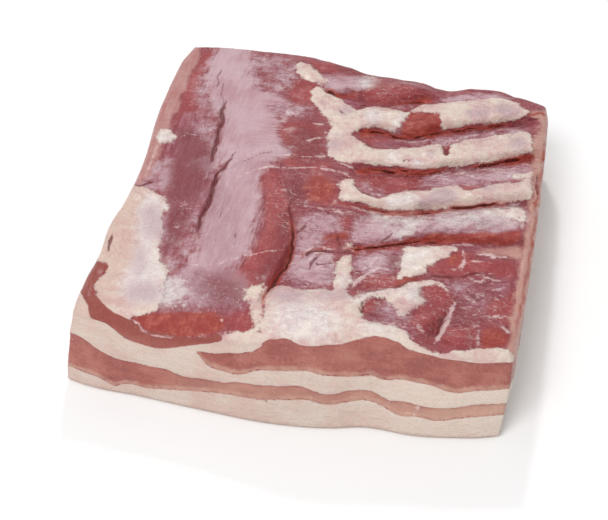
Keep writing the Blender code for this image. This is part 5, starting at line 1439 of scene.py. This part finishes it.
class Signal:
    """A shader socket that can be used in plain arithmetic."""

    def __init__(self, recipe: "Recipe", socket: bpy.types.NodeSocket) -> None:
        """Wrap a socket of a material's node tree."""
        self.recipe = recipe
        self.socket = socket

    def math(self, operation: str, *values: "Signal | float") -> "Signal":
        """Add a Math node that starts from this signal."""
        inputs = dict(enumerate((self, *values)))
        return self.recipe.node("ShaderNodeMath", {"operation": operation}, inputs)

    def __add__(self, other: "Signal | float") -> "Signal":
        """Add."""
        return self.math("ADD", other)

    def __radd__(self, other: float) -> "Signal":
        """Add to a number."""
        return self.math("ADD", other)

    def __sub__(self, other: "Signal | float") -> "Signal":
        """Take away."""
        return self.math("SUBTRACT", other)

    def __rsub__(self, other: float) -> "Signal":
        """Take from a number."""
        return self.recipe.node("ShaderNodeMath", {"operation": "SUBTRACT"}, {0: other, 1: self})

    def __mul__(self, other: "Signal | float") -> "Signal":
        """Multiply."""
        return self.math("MULTIPLY", other)

    def __rmul__(self, other: float) -> "Signal":
        """Multiply a number."""
        return self.math("MULTIPLY", other)

    def rise(self, low: float, high: float) -> "Signal":
        """Rise smoothly from 0 at low to 1 at high."""
        inputs = {"Value": self, "From Min": low, "From Max": high}
        return self.recipe.node("ShaderNodeMapRange", {"interpolation_type": "SMOOTHSTEP"}, inputs)


class Recipe:
    """A material's node tree under construction."""

    def __init__(self, name: str) -> None:
        """Start a new material with its own shader.

        Args:
            name: The material's name.
        """
        self.material = bpy.data.materials.new(name)
        self.material.use_nodes = True
        self.tree = self.material.node_tree
        self.shader = self.tree.nodes["Principled BSDF"]

    def plug(self, socket: bpy.types.NodeSocket, value: object) -> None:
        """Link a signal to a socket, or set the socket's own value.

        Args:
            socket: The socket to feed.
            value: A signal or a plain value.
        """
        if isinstance(value, Signal):
            self.tree.links.new(value.socket, socket)
        else:
            socket.default_value = value

    def node(self, kind: str, settings: dict, inputs: dict, output: int | str = 0) -> Signal:
        """Add a node.

        Args:
            kind: The node's type.
            settings: The node's own choices, which are set first.
            inputs: Values or signals by socket name or number.
            output: Which output to read.

        Returns:
            The node's output as a signal.
        """
        made = self.tree.nodes.new(kind)
        for label, value in settings.items():
            setattr(made, label, value)
        for label, value in inputs.items():
            self.plug(made.inputs[label], value)
        return Signal(self, made.outputs[output])

    def field(self, label: str) -> Signal:
        """Read one of the skin's fields."""
        settings = {"attribute_type": "GEOMETRY", "attribute_name": label}
        return self.node("ShaderNodeAttribute", settings, {}, "Fac")

    def noise(self, place: Signal, scale: float, detail: float = 2.0, roughness: float = 0.5) -> Signal:
        """A noise around 0, from about -0.5 to 0.5."""
        inputs = {"Vector": place, "Scale": scale, "Detail": detail, "Roughness": roughness}
        return self.node("ShaderNodeTexNoise", {}, inputs, "Fac") - 0.5

    def stretched(self, place: Signal, scale: tuple, rotation: tuple) -> Signal:
        """Turn and stretch places, so that a noise read there comes out as fibres."""
        return self.node("ShaderNodeMapping", {}, {"Vector": place, "Rotation": rotation, "Scale": scale})

    def blend(self, share: Signal, below: Signal, above: Signal) -> Signal:
        """Mix two values."""
        return below + (above - below) * share

    def tint(self, share: Signal | float, below: object, above: object) -> Signal:
        """Mix two colours."""
        settings = {"data_type": "RGBA", "clamp_factor": True}
        return self.node("ShaderNodeMix", settings, {0: share, 6: below, 7: above}, 2)

    def finish(self, inputs: dict) -> bpy.types.Material:
        """Set the shader's sockets and hand over the material.

        Args:
            inputs: Values or signals by socket name.

        Returns:
            The material.
        """
        for label, value in inputs.items():
            self.plug(self.shader.inputs[label], value)
        return self.material


@dataclass(frozen=True)
class MeatColours:
    """Display colours of the tissues."""

    lean: Colour = linear(156, 80, 86)
    lean_dark: Colour = linear(132, 52, 60)
    lean_pale: Colour = linear(180, 118, 122)
    bright: Colour = linear(148, 54, 57)
    bright_pale: Colour = linear(175, 86, 85)
    raw: Colour = linear(150, 50, 44)
    raw_pale: Colour = linear(182, 92, 76)
    # Dark lean, also used as painted shade in valleys, beside slits and under muscle domes.
    dark: Colour = linear(122, 42, 50)
    purple: Colour = linear(168, 108, 120)
    purple_dark: Colour = linear(136, 62, 74)
    haze: Colour = linear(198, 168, 176)
    film: Colour = linear(200, 167, 174)
    film_pink: Colour = linear(186, 142, 150)
    film_line: Colour = linear(168, 118, 126)
    film_sheen: Colour = linear(216, 192, 197)
    dusk: Colour = linear(176, 134, 142)
    dusk_pale: Colour = linear(196, 162, 168)
    blush: Colour = linear(189, 141, 135)
    blush_dark: Colour = linear(180, 116, 111)
    fat: Colour = linear(222, 202, 190)
    fat_pink: Colour = linear(210, 172, 168)
    fat_cream: Colour = linear(227, 208, 193)
    fat_lilac: Colour = linear(190, 160, 166)
    fat_tan: Colour = linear(206, 173, 159)
    white: Colour = linear(234, 224, 219)
    white_cool: Colour = linear(208, 194, 197)
    cut: Colour = linear(180, 108, 96)
    cut_dark: Colour = linear(150, 82, 76)
    cut_red: Colour = linear(147, 67, 58)
    cut_pale: Colour = linear(212, 164, 152)
    tan: Colour = linear(205, 163, 145)
    face_fat: Colour = linear(215, 196, 184)
    face_fat_pink: Colour = linear(209, 180, 169)
    face_fat_white: Colour = linear(229, 213, 199)
    # Sinew, also used for the pale veins and for painted glints.
    sinew: Colour = linear(226, 198, 196)
    # Dark seam lines and painted shade in the creases.
    groove: Colour = linear(106, 26, 28)
    # Painted shade in the bottoms of the slits.
    deep: Colour = linear(92, 22, 14)
    ember: Colour = linear(190, 74, 52)
    rind: Colour = linear(198, 160, 142)


class MeatMix:
    """The meat's colour while its tissues are laid one over another, and the noises that shape them."""

    def __init__(self, recipe: Recipe, colours: MeatColours) -> None:
        """Read the skin's places and fields, and lay the noises and the first lean.

        Args:
            recipe: The material under construction.
            colours: The tissues' colours.
        """
        self.recipe, self.colours = recipe, colours
        place = recipe.node("ShaderNodeTexCoord", {}, {}, "Object")
        self.across = recipe.node("ShaderNodeSeparateXYZ", {}, {"Vector": place}, "X") * 1000.0
        self.height = recipe.node("ShaderNodeSeparateXYZ", {}, {"Vector": place}, "Z") * 1000.0
        self.side, self.turn = recipe.field("side"), recipe.field("turn")
        self.top = 1.0 - self.side
        self.cloud = recipe.noise(place, 55.0, 2.0)
        self.ragged = recipe.noise(place, 190.0, 3.0, 0.6)
        self.torn = recipe.noise(place, 560.0, 3.0, 0.65)
        self.fine = recipe.noise(place, 1500.0, 2.0, 0.7)
        self.grit = self.fine * 1.1 + self.torn * 0.9
        lengthwise = recipe.stretched(place, (1.0, 0.16, 0.5), (0.0, 0.0, 0.10))
        crosswise = recipe.stretched(place, (0.16, 1.0, 0.8), (0.0, 0.0, 0.26))
        self.fibre, self.thread = (
            recipe.blend(self.turn, recipe.noise(lengthwise, scale, detail, 0.6),
                         recipe.noise(crosswise, scale, detail, 0.6))
            for scale, detail in ((420.0, 3.0), (1300.0, 2.0)))
        loose = recipe.stretched(place, (0.42, 1.0, 0.8), (0.0, 0.0, 0.26))
        ridges = recipe.noise(loose, 240.0, 2.0, 0.55).math("ABSOLUTE")
        creases = recipe.noise(loose, 170.0, 2.5, 0.6).math("ABSOLUTE")
        dark_part, pale_part = (self.cloud * pull + self.ragged * 2.0 for pull in (-3.0, 3.0))
        self.mottle = self.mask(T.MOTTLE, 4.0, 3.0)
        self.dark_veins = creases.rise(0.04, 0.0) * (dark_part + 0.4).rise(0.0, 1.0) * self.mottle
        self.pale_veins = ridges.rise(0.032, 0.0) * (pale_part + 0.45).rise(0.0, 1.0) * self.mottle
        face_edge = self.ragged * 1.8 + self.torn * 1.2
        fat_on_side = (recipe.field(T.FAT.value) + face_edge).rise(-0.4, 0.4) * self.side
        self.fat_share = self.mask(T.FAT, 4.2, 0.75, 2.2) * self.top + fat_on_side
        self.cut_field = recipe.field(T.CUT.value) + face_edge
        self.cut_share = self.cut_field.rise(-0.4, 0.4)
        self.colour = self.lean_tone()

    def mask(self, tissue: Tissue, wander: float, soft: float, streaks: float = 0.0) -> Signal:
        """Where a tissue shows, with a ragged edge.

        Args:
            tissue: The tissue.
            wander: How far its edge wanders, in millimetres.
            soft: How far its edge fades to each side, in millimetres.
            streaks: How far the fibres draw its edge out, in millimetres.

        Returns:
            Its share, from 0 to 1.
        """
        edge = self.recipe.field(tissue.value) + self.ragged * wander + self.torn * (0.6 * wander)
        if streaks:
            edge = edge + (self.fibre + self.thread * 0.6) * streaks
        return edge.rise(-soft, soft)

    def lay(self, share: Signal, tone: Signal | Colour) -> None:
        """Lay a tone over what is there."""
        self.colour = self.recipe.tint(share, self.colour, tone)

    def lean_tone(self) -> Signal:
        """Mix the lean that lies under every other tissue.

        Returns:
            Its colour.
        """
        c, tint = self.colours, self.recipe.tint
        lean = tint((self.fibre * 2.4 + self.grit * 0.7 + 0.5).rise(0.0, 1.0), c.lean_dark, c.lean)
        pale = (self.thread * 3.0 + self.cloud * 2.0 + self.ragged - 0.15).rise(0.0, 1.0)
        return tint(pale, lean, c.lean_pale)

    def lay_bright_lean(self) -> None:
        """Lay the bright red and the purple lean."""
        c, tint, fibre, grit = self.colours, self.recipe.tint, self.fibre, self.grit
        pale = (fibre * 1.5 + grit * 1.2 + self.cloud * 1.5 + 0.4).rise(0.0, 1.1)
        self.lay(self.mask(T.BRIGHT, 3.4, 1.5, 3.0), tint(pale, c.bright, c.bright_pale))
        pale = (fibre * 2.6 + grit + self.ragged + 0.45).rise(0.0, 1.0)
        self.lay(self.mask(T.PURPLE, 4.0, 2.0, 3.5) * 0.85, tint(pale, c.purple_dark, c.purple))

    def lay_membrane(self) -> None:
        """Lay the haze, the flank's pale membrane, and the dusky and dark parts in it; the dark parts are
        dark lean and painted shade.
        """
        c, tint, fibre, thread = self.colours, self.recipe.tint, self.fibre, self.thread
        cloud, ragged = self.cloud, self.ragged
        wisps = (cloud * 1.6 + ragged * 1.8 + self.torn * 0.9 + thread * 0.6 + 0.5).rise(-0.05, 1.1) * 0.92
        self.lay(self.mask(T.HAZE, 5.0, 3.0, 1.5) * wisps, c.haze)
        film = tint((fibre * 1.6 + cloud * 2.0 + 0.6).rise(0.0, 1.0), c.film_pink, c.film)
        film = tint((thread * -3.2 + ragged * 1.2 - 0.55).rise(0.0, 0.7) * 0.7, film, c.film_line)
        sheen = (thread * 3.0 + self.fine * 1.5 + cloud - 0.55).rise(0.0, 0.7)
        self.lay(self.mask(T.FILM, 4.5, 2.6, 6.0) * 0.95, tint(sheen * 0.8, film, c.film_sheen))
        dusk = tint((fibre * 1.8 + self.grit + 0.3).rise(0.0, 1.0), c.dusk, c.dusk_pale)
        self.lay(self.mask(T.DUSK, 4.0, 2.4, 3.0) * 0.8, dusk)
        # Dark lean, and painted shade where these marks sit in valleys, beside slits and under domes.
        self.lay(self.mask(T.DARK, 4.0, 2.4, 3.0) * 0.7, c.dark)

    def lay_torn(self) -> None:
        """Lay the pits and veins of torn tissue, pale specks that are painted glints, and the pink and raw
        patches.
        """
        c, tint, fibre, ragged = self.colours, self.recipe.tint, self.fibre, self.ragged
        pits = (self.torn * -2.2 + self.thread * 1.4 - 0.3).rise(0.0, 0.3) * self.mottle
        self.lay(pits * 0.6, c.purple_dark)
        self.lay(self.dark_veins * 0.6, c.purple_dark)
        self.lay(self.pale_veins * 0.45, c.sinew)
        # Pale specks in the sinew colour are painted glints of wet tissue.
        painted_glints = (self.torn * 2.4 + self.thread * 1.6 + self.fine * 0.8 - 0.34).rise(0.0, 0.26)
        self.lay(painted_glints * (self.mottle * 0.5 + 0.12) * self.top, c.sinew)
        blush = tint((fibre * 2.6 + ragged + 0.55).rise(0.0, 1.0), c.blush_dark, c.blush)
        blush = tint(self.across.rise(95.0, 118.0) * 0.6, blush, c.tan)
        self.lay(self.mask(T.BLUSH, 2.5, 1.2, 1.5) * 0.9, blush)
        raw = tint((fibre * 1.5 + self.grit + ragged * 2.0 + 0.35).rise(0.0, 1.1), c.raw, c.raw_pale)
        self.lay(self.mask(T.RAW, 2.2, 1.2, 1.5), raw)

    def lay_fat(self) -> None:
        """Lay the fat, warmer on the left and whiter on the right, with its white and lilac parts."""
        c, tint, across = self.colours, self.recipe.tint, self.across
        fibre, grit, cloud, ragged = self.fibre, self.grit, self.cloud, self.ragged
        fat = tint((ragged * 2.4 + cloud * 2.0 + 0.62).rise(0.0, 1.0), c.fat_pink, c.fat)
        fat = tint((cloud * 3.0 + fibre * 0.8 - 0.05).rise(0.0, 0.9), fat, c.fat_cream)
        fat = tint((ragged * -2.2 + cloud * -2.6 - 0.35).rise(0.0, 0.7) * 0.7, fat, c.fat_lilac)
        fat = tint((across + ragged * 20.0).rise(-84.0, -106.0) * 0.6, fat, c.fat_tan)
        whiter = across.rise(0.0, 90.0) * 0.2 - 0.27
        fat = tint((grit * 1.4 + fibre * 1.6 + ragged + whiter).rise(0.0, 0.8), fat, c.white)
        face = tint((cloud * 2.4 + fibre * 1.2 + 0.55).rise(0.0, 1.0), c.face_fat_pink, c.face_fat)
        face = tint((fibre * 1.8 + grit - 0.2).rise(0.0, 0.9), face, c.face_fat_white)
        face = tint((across + ragged * 30.0).rise(0.0, 90.0) * 0.55, face, c.face_fat_white)
        self.lay(self.fat_share, tint(self.side, fat, face))
        white = tint((grit * 1.2 + ragged * 2.2 + 0.62).rise(0.0, 1.0), c.white_cool, c.white)
        self.lay(self.mask(T.WHITE, 5.0, 2.6) * 0.78, white)
        self.lay(self.mask(T.LILAC, 4.0, 2.0, 2.0) * 0.75, c.fat_lilac)

    def lay_cut(self) -> None:
        """Lay the cut lean of the sides: tan where it is low, red in the flank muscle, with a dark edge."""
        c, tint, side, ragged = self.colours, self.recipe.tint, self.side, self.ragged
        pale = (self.grit * 1.2 + self.cloud * 1.6 + self.fibre + 0.5).rise(0.0, 1.0)
        cut = tint(pale, c.cut_dark, c.cut)
        cut = tint((self.grit * 1.6 + ragged - 0.3).rise(0.0, 0.8), cut, c.cut_pale)
        inward = self.across + ragged * 20.0
        low_tan = inward.rise(-70.0, -40.0) * 0.42 + inward.rise(45.0, 95.0) * 0.4
        cut = tint((low_tan * self.height.rise(31.0, 25.0) + self.cloud * 0.8) * side, cut, c.tan)
        brim = (self.recipe.field("floor_gap") + ragged * 4.0 + self.torn * 2.0).rise(3.2, 0.6)
        cut = tint(brim * side * 0.72, cut, c.tan)
        high_left = (self.height + ragged * 12.0).rise(30.0, 44.0) * self.across.rise(-18.0, -40.0)
        self.lay(self.cut_share, tint(high_left * 0.88, cut, c.cut_red))
        outline = self.cut_field.rise(-0.3, 0.5) * (1.0 - self.cut_field.rise(0.7, 1.9))
        self.lay(outline * (ragged * 2.0 + 0.45).rise(0.1, 0.9) * 0.55, c.cut_dark)

    def lay_lines(self) -> None:
        """Lay the sinews, the dark seam lines with painted shade in the creases, the slits' painted shade
        with a red glow beside them, and the rind at the foot.
        """
        c, ragged = self.colours, self.ragged
        self.lay(self.mask(T.SINEW, 3.0, 0.6, 1.6) * 0.7, c.sinew)
        # Dark seam lines and painted shade in the creases.
        self.lay(self.mask(T.SEAM_AND_CREASE_SHADE, 1.0, 0.5, 0.4) * 0.85, c.groove)
        glow = (self.recipe.field(T.SLIT_SHADE.value) + ragged * 2.2).rise(-2.0, 0.2)
        self.lay(glow * 0.7, c.ember)
        # Painted shade in the bottoms of the slits.
        self.lay(self.mask(T.SLIT_SHADE, 0.9, 0.45), c.deep)
        self.lay((self.height + ragged * 1.8 + self.cloud * 2.0).rise(4.0, 1.4) * 0.5, c.rind)

    def relief(self, fat: Signal) -> Signal:
        """Mix the fine relief, livelier where fibres run across the top.

        Args:
            fat: Where fat shows.

        Returns:
            Its height, for a Bump node.
        """
        grain = 0.6 * self.fibre + 0.35 * self.thread + 0.8 * self.torn + 0.4 * self.fine
        grain = grain + self.ragged * (0.5 + self.turn * self.top * 0.9)
        return grain + (fat * 0.25 + self.pale_veins * 0.3 - self.dark_veins * 0.4) * self.top


@dataclass(frozen=True)
class MeatFinish:
    """The wet finish of the whole slab, mixed from its tissue fields."""

    colours: MeatColours = MeatColours()
    name: str = "raw_pork_belly"
    relief_depth: float = 0.0011
    roughness: float = 0.22
    wetness: float = 0.07
    gloss: float = 0.55
    glow_share: float = 0.1
    glow_reach: tuple[float, float, float] = (0.9, 0.4, 0.3)
    glow_depth: float = 0.0025

    def build(self) -> bpy.types.Material:
        """Mix the tissues into one material.

        Returns:
            The material.
        """
        recipe = Recipe(self.name)
        mix = MeatMix(recipe, self.colours)
        mix.lay_bright_lean()
        mix.lay_membrane()
        mix.lay_torn()
        mix.lay_fat()
        mix.lay_cut()
        mix.lay_lines()
        fat = mix.fat_share * (1.0 - mix.cut_share)
        bump = {"Strength": 1.0, "Distance": self.relief_depth, "Height": mix.relief(fat)}
        wet = (mix.ragged * 1.6 + mix.cloud + 0.3).rise(0.0, 0.8) * self.wetness
        return recipe.finish({
            "Base Color": mix.colour,
            "Roughness": self.roughness + fat * 0.05 + mix.torn * 0.3 + mix.ragged * 0.16,
            "Coat Weight": wet, "Coat Roughness": 0.16, "Normal": recipe.node("ShaderNodeBump", {}, bump),
            "IOR": 1.4, "Specular IOR Level": self.gloss, "Subsurface Weight": self.glow_share,
            "Subsurface Radius": self.glow_reach, "Subsurface Scale": self.glow_depth,
        })


@dataclass
class Slab:
    """The whole slab: its skin, its finish and what it stands for."""

    skin: Skin
    finish: MeatFinish

    def build(self) -> bpy.types.Object:
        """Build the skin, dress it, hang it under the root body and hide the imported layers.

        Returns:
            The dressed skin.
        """
        made = self.skin.build()
        made.data.materials.append(self.finish.build())
        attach(made, "root")
        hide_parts(*LAYER_NODES)
        return made


@dataclass(frozen=True)
class Studio:
    """A plain pale floor and plain soft light."""

    floor_size: float = 6.0
    floor_colour: Colour = (0.93, 0.93, 0.93, 1.0)
    sky_strength: float = 0.6
    boxes: tuple = (((-0.3, -0.85, 1.3), 0.8, 12.5), ((-0.2, 1.0, 1.0), 0.13, 5.2))

    def build(self) -> None:
        """Lay the floor, light the sky and hang the soft boxes."""
        self.floor()
        self.sky()
        for place, size, power in self.boxes:
            self.soft_box(place, size, power)

    def floor(self) -> None:
        """Lay a wide matt floor under the slab."""
        bpy.ops.mesh.primitive_plane_add(size=self.floor_size, location=(0.0, 0.0, 0.0))
        floor = bpy.context.active_object
        floor.name = "floor"
        recipe = Recipe("pale_floor")
        place = recipe.node("ShaderNodeTexCoord", {}, {}, "Object")
        grain = recipe.noise(place, 900.0)
        material = recipe.finish({"Base Color": self.floor_colour, "Roughness": 0.7 + grain * 0.1})
        floor.data.materials.append(material)

    def sky(self) -> None:
        """Fill the room with even white light."""
        world = bpy.data.worlds.new("soft_room")
        world.use_nodes = True
        light = world.node_tree.nodes["Background"]
        light.inputs["Color"].default_value = (1.0, 1.0, 1.0, 1.0)
        light.inputs["Strength"].default_value = self.sky_strength
        bpy.context.scene.world = world

    def soft_box(self, place: tuple[float, float, float], size: float, power: float) -> None:
        """Hang one round soft light that faces the slab.

        Args:
            place: Where it hangs.
            size: Its width in metres.
            power: Its power in watts.
        """
        data = bpy.data.lights.new("soft_box", "AREA")
        data.shape = "DISK"
        data.size = size
        data.energy = power
        lamp = bpy.data.objects.new("soft_box", data)
        bpy.context.scene.collection.objects.link(lamp)
        lamp.location = place
        lamp.rotation_euler = Vector(place).to_track_quat("Z", "Y").to_euler()


def main() -> None:
    """Build the slab, the studio and the camera."""
    logging.basicConfig(level=logging.INFO, format="%(name)s: %(message)s")
    eye = PhotoEye()
    grid = SkinGrid(SlabPlan(), TopRelief(), Layering(), eye)
    slab = Slab(Skin(grid), MeatFinish()).build()
    log.info("slab: %d points, %d faces", len(slab.data.vertices), len(slab.data.polygons))
    studio = Studio()
    studio.build()
    log.info("studio: a floor %.1f m wide, %d soft boxes", studio.floor_size, len(studio.boxes))
    camera = eye.build()
    log.info("camera: %s with a %.1f mm lens", camera.name, eye.lens)
    bpy.context.scene.view_settings.view_transform = "Standard"


if __name__ == "__main__":
    main()
